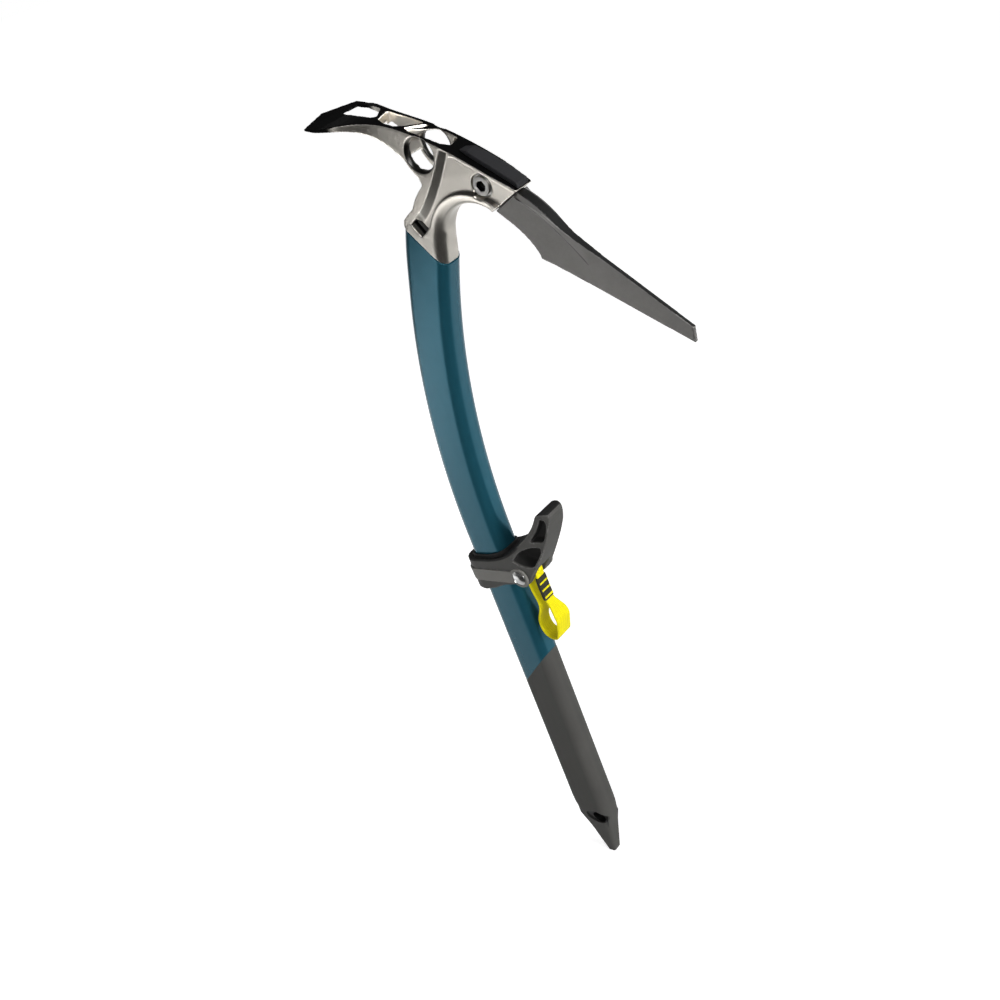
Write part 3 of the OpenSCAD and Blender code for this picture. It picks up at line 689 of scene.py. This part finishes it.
# Camera, light and floor
def make_camera():
    """A camera at the photograph's angle."""
    data = bpy.data.cameras.new("camera")
    data.lens = LENS_MM
    data.sensor_width = SENSOR_MM
    data.sensor_fit = "HORIZONTAL"
    data.clip_start = 0.01
    camera = link(bpy.data.objects.new("camera", data))
    back = CAMERA_RIGHT.cross(CAMERA_UP)
    turn = Matrix((CAMERA_RIGHT, CAMERA_UP, back)).transposed().to_4x4()
    camera.matrix_world = Matrix.Translation(CAMERA_AT) @ turn
    bpy.context.scene.camera = camera


def make_lamp(name, watts, size, at, towards, spread_deg=180.0):
    """A square soft box that faces a point; a smaller spread keeps its light in a beam."""
    data = bpy.data.lights.new(name, "AREA")
    data.energy = watts
    data.size = size
    data.spread = math.radians(spread_deg)
    lamp = link(bpy.data.objects.new(name, data))
    lamp.location = at
    lamp.rotation_euler = (Vector(towards) - Vector(at)).to_track_quat("-Z", "Y").to_euler()


def dot_with(tree, place, way):
    """How far a place lies along a direction; returns the output."""
    return put(tree, "ShaderNodeVectorMath", {0: place, 1: way}, operation="DOT_PRODUCT").outputs["Value"]


def make_world():
    """Plain soft light all round; the camera sees it white, and metal mirrors a white band behind
    the object."""
    world = bpy.data.worlds.new("studio")
    world.use_nodes = True
    tree = world.node_tree
    tree.nodes.clear()
    path = put(tree, "ShaderNodeLightPath")
    towards = put(tree, "ShaderNodeTexCoord").outputs["Generated"]
    facing = dot_with(tree, towards, BACKDROP_WAY)
    height = put(tree, "ShaderNodeSeparateXYZ", {0: towards}).outputs["Z"]
    low = math_node(tree, "SUBTRACT", 1.0, ramp_between(tree, height, 0.12, 0.3))
    behind = times(tree, ramp_between(tree, facing, -0.1, 0.5), low)
    mirrored = times(tree, behind, path.outputs["Is Glossy Ray"])
    white = math_node(tree, "MAXIMUM", mirrored, path.outputs["Is Camera Ray"])
    strength = plus(tree, WORLD_LEVEL, times(tree, white, 1.0 - WORLD_LEVEL))
    glow = put(tree, "ShaderNodeBackground", {"Color": (1, 1, 1, 1), "Strength": strength})
    put(tree, "ShaderNodeOutputWorld", {"Surface": glow.outputs[0]})
    bpy.context.scene.world = world


def make_floor():
    """A wide flat pale floor. The camera sees it lifted to white, less so near the object, where it keeps
    the shadow. Metal mirrors the white part behind the object and a dark flag laid in front of it."""
    reach = 40.0
    height = FLOOR_Z / 1000.0
    corners = [(x * reach, y * reach, height) for x, y in ((-1, -1), (1, -1), (1, 1), (-1, 1))]
    mesh = bpy.data.meshes.new("floor")
    mesh.from_pydata(corners, [], [(0, 1, 2, 3)])
    floor = link(bpy.data.objects.new("floor", mesh))
    material = bpy.data.materials.new("floor_paper")
    material.use_nodes = True
    tree = material.node_tree
    tree.nodes.clear()
    path = put(tree, "ShaderNodeLightPath")
    mirrored = math_node(tree, "MAXIMUM", path.outputs["Is Glossy Ray"],
                         path.outputs["Is Transmission Ray"])
    place = put(tree, "ShaderNodeTexCoord").outputs["Object"]
    away = dot_with(tree, place, BACKDROP_WAY)
    aside = math_node(tree, "ABSOLUTE", dot_with(tree, place, ACROSS_WAY))
    across = times(tree, aside, aside)
    squares = plus(tree, across, times(tree, away, away))
    distance = math_node(tree, "SQRT", squares)
    shown = carry(tree, distance, 0.3, 0.9, NEAR_SHOWN, FAR_LIFT)
    glossy = carry(tree, distance, 0.4, 0.95, NEAR_MIRRORED, FAR_LIFT)
    widening = times(tree, math_node(tree, "MAXIMUM", away, 0.0), 0.55)
    past_edge = math_node(tree, "SUBTRACT", aside, widening)
    inside = math_node(tree, "SUBTRACT", 1.0, ramp_between(tree, past_edge, 0.34, 0.48))
    behind = times(tree, inside, ramp_between(tree, away, -0.22, -0.06))
    lift_mirrored = times(tree, times(tree, behind, mirrored), glossy)
    lift_shown = times(tree, path.outputs["Is Camera Ray"], shown)
    lift = plus(tree, lift_mirrored, lift_shown)
    in_front = plus(tree, away, times(tree, aside, FLAG_SPLAY))
    flag = math_node(tree, "SUBTRACT", 1.0, ramp_between(tree, in_front, -0.1, 0.02))
    flagged = times(tree, times(tree, flag, mirrored), FLAG_DEPTH)
    paper = blend_colours(tree, flagged, grey(0.86), grey(0.01))
    matte = put(tree, "ShaderNodeBsdfDiffuse", {"Color": paper})
    glow = put(tree, "ShaderNodeEmission", {"Color": (1, 1, 1, 1), "Strength": lift})
    both = put(tree, "ShaderNodeAddShader", {0: matte.outputs[0], 1: glow.outputs[0]})
    put(tree, "ShaderNodeOutputMaterial", {"Surface": both.outputs[0]})
    mesh.materials.append(material)


# Shaft and grip
def bend_place(run, across, side):
    """A point of the shaft: straight up to the bend, then round the bend's centre;
    run is the length on the axis, across is to the front, side is along y."""
    angle = np.clip(run - BEND_Z, 0.0, None) / BEND_R
    straight = np.minimum(run, BEND_Z)
    x = BEND_R - (BEND_R - across) * np.cos(angle)
    z = straight + (BEND_R - across) * np.sin(angle)
    return np.stack([x, side + 0.0 * x, z], -1)


def make_shaft():
    """The tube: a round-cornered section carried along the axis from the grip's slanted edge
    to the collar's slanted joint, with a slight flare of its back below the collar."""
    ring = rounded_ring(SHAFT_HALF_W, SHAFT_HALF_T, SHAFT_CORNER, 10)
    across, side = ring[:, 0], ring[:, 1]
    top_run = BEND_Z + BEND_R * BEND_ANGLE
    low = GRIP_TOP + GRIP_SLOPE * across - 0.4
    high = top_run + (1.0 - COLLAR_SLOPE * across) * BEND_R / (BEND_R - across) - 0.02
    t = np.linspace(0.0, 1.0, 120)[:, None]
    run = low + (high - low) * t
    flare = 0.9 * ramp(top_run - 34.0, top_run + 2.0, run) * ramp(2.0, -13.0, across)
    grid = bend_place(run, across - flare, side + 0.0 * run)
    return finish_piece(surface("shaft", grid, angle=35.0), "base", "shaft_blue", "shaft_tube")


def make_grip():
    """The rubber sleeve: a round-cornered section between a left and a right limit and a half
    thickness that all depend on the height, tapered to the foot, with a hole for the lower eye and
    painted shade round it."""
    level = np.concatenate([np.linspace(2.4, 12.0, 12), np.linspace(13.5, 48.0, 30),
                            np.linspace(50.0, 140.0, 40)])
    left = np.interp(level, [2.4, 6.6, 28.0, 49.8, 51.5], [-2.1, -3.0, -7.8, -14.0, -14.0])
    right = np.interp(level, [2.4, 4.4, 20.0, 39.0, 45.0, 48.0], [3.9, 4.6, 8.2, 13.1, 13.9, 14.0])
    half_t = np.interp(level, [2.4, 3.2, 20.0, 44.0, 47.0], [3.3, 3.6, 5.6, 8.4, 8.5])
    kernel = np.array([1.0, 2.0, 3.0, 4.0, 3.0, 2.0, 1.0]) / 16.0
    left, right, half_t = (np.convolve(np.pad(q, 3, "edge"), kernel, "valid")
                           for q in (left, right, half_t))
    half_w = (right - left) / 2
    roundness = 0.5 + (SHAFT_CORNER / SHAFT_HALF_T - 0.5) * ramp(16.0, 48.0, level)
    corner = roundness * np.minimum(half_w, half_t)
    ring = rounded_ring(half_w, half_t, corner, 10)
    across = ring[..., 0] + ((right + left) / 2)[:, None]
    grid = np.stack([across, ring[..., 1], level[:, None] + 0.0 * across], -1)
    top = GRIP_TOP + GRIP_SLOPE * across[-1]
    t = np.linspace(0.0, 1.0, 16)[1:, None]
    rise = np.stack([across[-1] + 0.0 * t, ring[-1, :, 1] + 0.0 * t, level[-1] + (top - level[-1]) * t], -1)
    lip = rise[-1:].copy()
    lip[..., :2] *= 0.975
    lip[..., 2] += 0.05
    grip = surface("grip", np.concatenate([grid, rise, lip]), angle=35.0)
    turn = np.linspace(0.0, 2 * math.pi, 48, endpoint=False)
    reach = np.array([-12.0, -8.0, 8.0, 12.0])[:, None]
    grow = np.array([1.5, 0.0, 0.0, 1.5])[:, None]
    bore = surface("bore", np.stack([FOOT_OVAL_X + (FOOT_OVAL_W + grow) * np.cos(turn), reach + 0.0 * turn,
                                     FOOT_EYE[2] + (FOOT_OVAL_H + grow) * np.sin(turn)], -1))
    cut = grip.modifiers.new("eye", "BOOLEAN")
    cut.object = bore
    cut.operation = "DIFFERENCE"
    cut.solver = "EXACT"
    even_out(grip, 0.42, 2)
    bpy.data.objects.remove(bore)
    place, _ = vertex_places(grip.data)
    # Painted shade round the hole for the lower eye
    off_eye = np.hypot((place[:, 0] - FOOT_OVAL_X) / FOOT_OVAL_W, (place[:, 2] - FOOT_EYE[2]) / FOOT_OVAL_H)
    store(grip.data, "dark", 0.85 * ramp(1.12, 1.0, off_eye))
    return finish_piece(grip, "base", "grip_rubber", "grip_sleeve")


# Head and pick
def above_joint(place):
    """How far points lie above the slanted joint of shaft and collar, square to the shaft's top."""
    top = np.array([BEND_R * (1.0 - math.cos(BEND_ANGLE)), BEND_Z + BEND_R * math.sin(BEND_ANGLE)])
    up = np.array([math.sin(BEND_ANGLE), math.cos(BEND_ANGLE)])
    front = np.array([math.cos(BEND_ANGLE), -math.sin(BEND_ANGLE)])
    flat = place[:, [0, 2]] - top
    return flat @ up + COLLAR_SLOPE * (flat @ front) - 1.0


def head_top(x):
    """The height of the head's top line over x: the adze's straight slope, then a cubic curve."""
    curve = bezier((12, 527.9), (48, 527.5), (82, 508.5), (117, 480.8), 60)
    xs = np.concatenate([[-3.4, 4.0], curve[:, 0]])
    zs = np.concatenate([[531.4, 529.6], curve[:, 1]])
    return np.interp(x, xs, zs)


def pocket_line():
    """The upper edge of the pocket's sloped wall as x and z: one smooth curve, run on to the top."""
    curve = bezier((40, 468.6), (55.5, 478.6), (64.5, 488.0), (77.6, 505.4), 40)
    return np.concatenate([curve, [[83.0, 512.6]]])


def reshape_pocket(mesh):
    """Sets the half thickness round the pocket's wall: the plate's own level behind the wall's edge,
    a straight slope with eased ends across the wall, and the pocket's flat floor in front of it.
    The plate's cells are evened out first."""
    place, normal = vertex_places(mesh)
    x = place[:, 0]
    z = place[:, 2]
    half = np.abs(place[:, 1])
    under_top = head_top(x) - z
    off = off_line(place, pocket_line())
    plate = COLLAR_PLATE + (BRIDGE_PLATE - COLLAR_PLATE) * ramp(478.0, 500.0, z)
    t = np.clip((off - 0.1) / POCKET_WALL, 0.0, 1.0)
    slope = plate + (POCKET_FLOOR - plate) * (0.7 * t + 0.3 * t * t * (3.0 - 2.0 * t))
    on_wall = ramp(-0.8, 0.0, off) * ramp(POCKET_WALL + 2.0, POCKET_WALL + 1.2, off)
    on_wall *= ramp(48.5, 51.0, x) * ramp(0.9, 1.5, under_top)
    sideways = np.abs(normal[:, 1])
    facing_out = np.maximum(ramp(0.2, 0.5, sideways), ramp(53.0, 55.0, x))
    from_eye = np.hypot(x - CLIP_EYE[0], z - CLIP_EYE[2])
    on_plate = (off < 0.0) & (half > BRIDGE_PLATE - 0.03) & (sideways > 0.9) & (from_eye > EYE_RIM_R)
    on_plate &= (z > 470.0) & (z < 500.0)
    from_elbow = np.linalg.norm(place[:, [0, 2]] - ELBOW, axis=1)
    from_bolt = np.linalg.norm(place[:, [0, 2]] - BOLT, axis=1)
    on_floor = (off > POCKET_WALL) & (from_elbow > ELBOW_R + 8.2) & (from_bolt > BOLT_SEAT_R)
    on_floor &= (half > 5.4) & (half < 7.0) & (x > POCKET_BACK) & (x < POCKET_FRONT) & (under_top > 1.8)
    weight = np.max([on_wall * facing_out * ramp(5.6, 5.9, half), on_plate, on_floor], axis=0)
    target = np.where(on_plate, plate, np.where(on_floor, POCKET_FLOOR, slope))
    side = np.sign(place[:, 1])
    relax(mesh, 0.6 * on_plate, 12)
    place, _ = vertex_places(mesh)
    place[:, 1] += weight * (side * target - place[:, 1])
    move_vertices(mesh, place)


def make_head():
    """The forging: the CAD solid with eased edges, its elbow and pocket walls smoothed, a painted dark
    reflection drawn as a black coat on its upward-facing top and adze, painted shade on the pocket's wall
    and low on the collar, and painted shade in the groove, the clip eye and the key's window."""
    head = softened("head_forging", "head", 0.4, 3)
    place, _ = vertex_places(head.data)
    from_elbow = place[:, [0, 2]] - ELBOW
    reach = np.linalg.norm(from_elbow, axis=1)
    bearing = np.degrees(np.arctan2(from_elbow[:, 1], from_elbow[:, 0]))
    on_roll = ramp(ELBOW_R + 7.0, ELBOW_R + 5.5, reach)
    off_laps = np.minimum(np.abs(bearing - ELBOW_IN), np.abs(bearing - ELBOW_OUT))
    laps = ramp(16.0, 6.0, off_laps)
    away_from_joint = ramp(0.6, 2.5, above_joint(place))
    relax(head.data, 0.6 * on_roll * laps * away_from_joint * ramp(105.0, 96.0, place[:, 0]), 60)
    reshape_pocket(head.data)
    place, normal = vertex_places(head.data)
    x, y, z = place.T
    depth = head_top(x) - z
    # Painted dark reflection: faces near the top line that face up, and the adze, are stored as the black
    # coat
    painted_top_reflection = ramp(0.85, 0.35, depth) * ramp(0.35, 0.6, normal[:, 2])
    adze = ramp(27.0, 14.0, x) * ramp(510.0, 515.0, z)
    store(head.data, "coat", np.maximum(painted_top_reflection, adze))
    # Painted shade on the pocket's sloped wall, and darker towards the bottom of the collar
    outside = ramp(5.4, 5.8, np.abs(y))
    off_wall = off_line(place, pocket_line())
    painted_wall_shade = ramp(-0.3, 0.3, off_wall) * ramp(POCKET_WALL + 0.6, POCKET_WALL - 0.4, off_wall)
    painted_wall_shade *= ramp(44.0, 48.0, x) * ramp(0.8, 1.6, depth)
    painted_collar_shade = COLLAR_PAINTED_SHADE * ramp(484.0, 464.0, z)
    store(head.data, "recess", np.maximum(painted_wall_shade * outside, painted_collar_shade))
    # Painted shade: a dark line in the groove, the clip eye's bore, darkest on its lower left, and the
    # key's window
    groove = ramp(0.75, 0.3, np.abs(reach - GROOVE_R))
    groove *= ramp(46.0, 52.0, bearing) * ramp(152.0, 146.0, bearing)
    from_eye = np.hypot(x - CLIP_EYE[0], z - CLIP_EYE[2])
    low_left = ramp(-0.9, 0.3, (CLIP_EYE[0] - x + CLIP_EYE[2] - z) / from_eye)
    rim = ramp(10.0, 9.6, from_eye) * ramp(4.4, 4.9, np.abs(y))
    rim *= 0.55 + 0.43 * low_left
    key_low, key_high = (np.array(corner) * 1000.0 + CLIP_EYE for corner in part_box("head_key"))
    key_at = (key_low + key_high) / 2.0
    painted_window_shade = ramp(7.5, 6.5, np.hypot(x - key_at[0], z - key_at[2]))
    painted_window_shade *= ramp(5.75, 5.35, np.abs(y))
    store(head.data, "dark", np.max([0.8 * groove * outside, rim, 0.85 * painted_window_shade], axis=0))
    store(head.data, "edge", edge_mask(head.data))
    return finish_piece(head, "base", "head_metal", "head_forging")


def pick_top(x):
    """The height of the pick's top line over x: two cubic curves and a straight run to the point."""
    first = bezier((114.5, 478.7), (122.5, 473), (127, 467), (131, 461.2), 20)
    second = bezier((132, 459.9), (134.6, 456.4), (137.5, 453.5), (140.7, 450.7), 20)
    line = np.concatenate([[[110.0, 481.9]], first, second, [[190.8, 405.9]]])
    return np.interp(x, line[:, 0], line[:, 1])


def make_pick():
    """The blade: the CAD solid with eased edges and a chamfer along each side of its top, with painted
    shade where it faces up, paler on its raised flange, and a painted shadow on the line of the
    flange's step."""
    pick = softened("pick", "pick_blade", 0.32, 3)
    place, _ = vertex_places(pick.data)
    ahead = ramp(112.0, 115.0, place[:, 0])
    flat_half = 1.0 + 1.9 * ramp(175.0, 125.0, place[:, 0])
    drop = 0.85 * np.clip(np.abs(place[:, 1]) - flat_half, 0.0, None) * ahead
    place[:, 2] = np.minimum(place[:, 2], np.where(ahead > 0.0, pick_top(place[:, 0]) - drop, place[:, 2]))
    move_vertices(pick.data, place)
    place, normal = vertex_places(pick.data)
    # Painted shade: the faces that face up are marked to turn near black
    upward = normal[:, 0] * 0.64 + normal[:, 2] * 0.77
    store(pick.data, "top", ramp(0.82, 0.93, upward))
    # Painted shadow along the line of the flange's step
    step = np.concatenate([bezier((112, 478.8), (120, 472), (127, 463), (132.4, 454.5), 20),
                           bezier((133, 453.5), (136, 449), (139.5, 444), (141.8, 439.8), 10)])
    off_step = off_line(place, step)
    beyond = ramp(143.0, 140.0, place[:, 0]) * ramp(111.0, 113.0, place[:, 0])
    store(pick.data, "flange", ramp(0.1, -0.3, off_step) * beyond)
    store(pick.data, "step", ramp(0.55, 0.2, np.abs(off_step)) * beyond)
    store(pick.data, "edge", edge_mask(pick.data))
    return finish_piece(pick, "base", "pick_steel", "pick")


def make_bolt():
    """The bolt: the CAD solid with eased edges and painted shade in its socket."""
    bolt = softened("pick_bolt", "bolt", 0.16, 2)
    place, _ = vertex_places(bolt.data)
    from_axis = np.hypot(place[:, 0] - BOLT[0], place[:, 2] - BOLT[1])
    sunk = ramp(-6.35, -6.0, place[:, 1])
    # Painted shade in the bolt's socket
    store(bolt.data, "dark", ramp(3.4, 2.9, from_axis) * sunk)
    store(bolt.data, "edge", edge_mask(bolt.data))
    return finish_piece(bolt, "base", "bolt_steel", "pick_bolt")


# Finger rest
def make_rest():
    """The finger rest: the CAD solid with eased edges and painted shade, near black, on its upper faces and
    in its hollows.
    """
    rest = softened("trigger_body", "finger_rest", 0.36, 2)
    place, normal = vertex_places(rest.data)
    x, y, z = place.T
    collar_rim = np.concatenate([
        [[-21.0, 254.4]], bezier((2, 256.6), (16, 258.4), (24, 263.8), (33, 270.6), 20)])
    hook_rim = np.concatenate([
        bezier((33, 270.6), (42, 277.4), (46.5, 283), (50.4, 289.2), 20),
        bezier((51, 289.9), (52.3, 291.4), (53.4, 291.8), (57, 291.9), 8), [[59.4, 291.6]]])
    # Painted shade: near black on the collar's top, on the hook's upper faces and in the hook's hollows
    painted_collar_top_shade = ramp(33.0, 30.0, x) * ramp(1.7, 1.1, off_line(place, collar_rim))
    under_hook = off_line(place, hook_rim)
    facing_up = ramp(0.25, 0.5, normal[:, 2] - 0.6 * normal[:, 0])
    painted_hook_top_shade = ramp(28.0, 31.0, x) * ramp(1.6, 1.0, np.abs(under_hook)) * facing_up
    half = np.abs(y)
    in_hook = ramp(22.5, 24.0, x) * ramp(252.0, 254.0, z)
    face_half = np.interp(x, [24.0, 30.0, 36.0, 44.0, 50.0, 57.0, 63.0],
                          [12.3, 11.7, 10.2, 8.4, 8.0, 8.0, 5.5])
    sunk = ramp(1.1, 2.1, under_hook) * ramp(0.6, 1.8, face_half - half)
    in_front = off_line(place, np.concatenate([
        bezier((33, 246.6), (41, 255.5), (50, 267), (56.5, 279.5), 30),
        [[57.6, 281.6], [60.8, 288.0], [60.6, 291.4]]]))
    painted_hollow_shade = in_hook * sunk * ramp(-1.0, -2.0, in_front)
    store(rest.data, "dark", np.max([0.9 * painted_collar_top_shade, 0.92 * painted_hook_top_shade, 0.85 * painted_hollow_shade], axis=0))
    store(rest.data, "edge", edge_mask(rest.data))
    return finish_piece(rest, "trigger", "rest_plastic", "trigger_body")


def make_rivet():
    """The rivet: a profile of radius against height turned about y, domed on each side."""
    dome_r = 7.8
    dome_h = 1.7
    radius = np.concatenate([[0.01], np.linspace(0.4, 4.75, 14)])
    height = np.sqrt(dome_r ** 2 - radius ** 2) - (dome_r - dome_h)
    rim_r = np.array([4.86, 4.9, 4.86, 2.45])
    rim_h = np.array([0.22, 0.1, 0.02, 0.02])
    half_r = np.concatenate([radius, rim_r])
    half_h = np.concatenate([height, rim_h]) + RIVET_SEAT
    profile_r = np.concatenate([half_r, half_r[::-1]])
    profile_y = np.concatenate([-half_h, half_h[::-1]])
    turn = np.linspace(0.0, 2 * math.pi, 64, endpoint=False)
    grid = np.stack([RIVET_X + profile_r[:, None] * np.cos(turn), profile_y[:, None] + 0.0 * turn,
                     RIVET_Z + profile_r[:, None] * np.sin(turn)], -1)
    return finish_piece(surface("rivet", grid, angle=50.0), "trigger", "rivet_steel", "trigger_axle")


# Webbing
def web_neck(count):
    """The strand that the keeper wraps, from the loop up to the rivet, as x and z."""
    return bezier((29.3, 224), (28.6, 229), (28.4, 238), (29.3, 246.4), count)


def web_line():
    """The middle line of the loop as x and z: down the left strand, round the loop, up the right
    strand and over the rivet."""
    turn = np.radians(np.linspace(15.0, 165.0, 24))
    over = np.stack([RIVET_X + WEB_WRAP_R * np.cos(turn), RIVET_Z + WEB_WRAP_R * np.sin(turn)], -1)
    return np.concatenate([
        bezier((19.9, 246.4), (19.6, 238), (20.2, 229), (22.4, 221.6), 16)[:-1],
        bezier((22.6, 220.8), (23.9, 214.8), (19.0, 211.4), (18.2, 205.6), 16)[:-1],
        bezier((18.1, 204.6), (17.9, 199.6), (19.8, 195.9), (23.6, 195.4), 16)[:-1],
        bezier((24.4, 195.35), (28.4, 195.3), (30.6, 196.4), (31.6, 199.2), 14)[:-1],
        bezier((31.9, 200.0), (33.0, 203.4), (33.8, 205.8), (34.6, 208.4), 12)[:-1],
        bezier((34.9, 209.4), (35.2, 214.6), (32.0, 218.6), (29.8, 222.4), 16)[:-1],
        web_neck(18)[:-1], over])


def strip(path, half_w, half_t, corner, closed):
    """A flat strip: a round-cornered section carried along a path in the x and z plane,
    its width along y and its thickness square to the path."""
    if closed:
        before, after = np.roll(path, 1, axis=0), np.roll(path, -1, axis=0)
    else:
        before, after = np.vstack([path[:1], path[:-1]]), np.vstack([path[1:], path[-1:]])
    tangent = (after - before) / np.linalg.norm(after - before, axis=1, keepdims=True)
    normal = np.stack([tangent[:, 1], -tangent[:, 0]], -1)
    ring = rounded_ring(half_w, half_t, corner, 5)
    flat = path[:, None, :] + ring[..., 1:2] * normal[:, None, :]
    return np.stack([flat[..., 0], ring[..., 0], flat[..., 1]], -1)


def make_loop():
    """The sewn loop: a strip with round edges, gathered at the rivet and full width in the loop."""
    path = web_line()
    loose = ramp(224.0, 212.0, path[:, 1])
    front = ramp(19.0, 31.0, path[:, 0])
    half_w = WEB_GATHER + (WEB_LOOSE - WEB_GATHER + WEB_SPREAD * front) * loose
    thick = np.full(len(path), WEB_HALF_T)
    loop = surface("webbing", strip(path, half_w, thick, 0.9 * thick, True), closed_v=True)
    return finish_piece(loop, "loop", "webbing_yellow", "webbing_loop")


def make_keeper():
    """The black keeper: a flat sleeve round one strand, with soft ends."""
    path = web_neck(33)
    path = path[path[:, 1] < KEEPER_TOP]
    ends = ramp(0.0, 3.0, np.arange(len(path))) * ramp(0.0, 3.0, np.arange(len(path))[::-1])
    swell = 0.15 * (ends - 1.0)
    grid = strip(path, KEEPER_HALF_W + swell, KEEPER_HALF_T + swell, np.full(len(path), 0.7), False)
    return finish_piece(surface("keeper", grid), "loop", "webbing_black", "webbing_keeper")


def make_tacks():
    """Three bar tacks: each a strip of side by side threads, its height a row of rounded ridges.
    The first stands for the CAD node, which holds all three."""
    neck = web_neck(200)
    for number, level in enumerate(TACK_LEVELS):
        near = neck[np.abs(neck[:, 1] - level) < TACK_HALF]
        across = np.linspace(-WEB_GATHER - 0.2, WEB_GATHER + 0.2, 91)
        threads = np.abs(np.sin(np.linspace(0.0, TACK_THREADS * math.pi, 91)))
        span = np.linspace(0.0, 1.0, len(near))
        dome = np.sqrt(np.clip(1.0 - (2.0 * span - 1.0) ** 2, 0.0, 1.0))
        lift = WEB_HALF_T + 0.5 + 0.5 * dome[:, None] * (0.45 + 0.55 * threads)
        outer = np.stack([near[:, None, 0] + lift, across + 0.0 * lift, near[:, None, 1] + 0.0 * lift], -1)
        inner = outer.copy()
        inner[..., 0] = near[:, None, 0] + WEB_HALF_T + 0.35
        grid = np.concatenate([outer, inner[:, ::-1]], 1)
        replaced = ["bar_tacks"] if number == 0 else []
        finish_piece(surface(f"bar_tack_{number}", grid), "loop", "webbing_yellow", *replaced)


make_camera()
make_world()
make_floor()
make_lamp("key", 1.0, 0.6, (0.95, -1.35, 0.45), (-0.02, 0.05, -0.16), 34.0)
make_lamp("right", 5.4, 1.2, (1.4, -0.1, 0.15), (-0.02, 0.0, -0.25), 42.0)
make_lamp("left_floor", 8.5, 0.9, (-1.0, -0.85, 1.0), (-0.9, -0.78, -0.5), 58.0)
make_lamp("right_floor", 5.0, 0.7, (0.8, 0.78, 1.0), (0.72, 0.68, -0.5), 52.0)
make_lamp("back", 0.7, 0.8, (0.25, 1.6, 0.35), (0.0, 0.0, -0.12), 36.0)

make_shaft()
make_grip()
make_head()
make_pick()
make_softened("head_cap", "cap", 0.22, 3, "base", "cap_plastic")
make_bolt()
make_softened("bolt_washer", "washer", 0.12, 1, "base", "bolt_steel")
make_softened("pick_nut", "nut", 0.16, 2, "base", "bolt_steel")
make_rest()
make_softened("trigger_strap", "rest_band", 0.28, 2, "trigger", "strap_plastic")
make_softened("trigger_liner", "rest_lining", 0.25, 2, "trigger", "liner_plastic")
make_rivet()
make_loop()
make_keeper()
make_tacks()

# The CAD solids that keep their own shape
for node, slot in (("shaft_plug", "plug_foam"), ("spike_insert", "spike_steel"), ("spike_pin", "pin_steel"),
                   ("head_key", "key_plastic"), ("trigger_spacer", "pin_steel")):
    nodes[node].data.materials.clear()
    nodes[node].data.materials.append(MATERIALS[slot])

bpy.context.scene.view_settings.view_transform = "Standard"
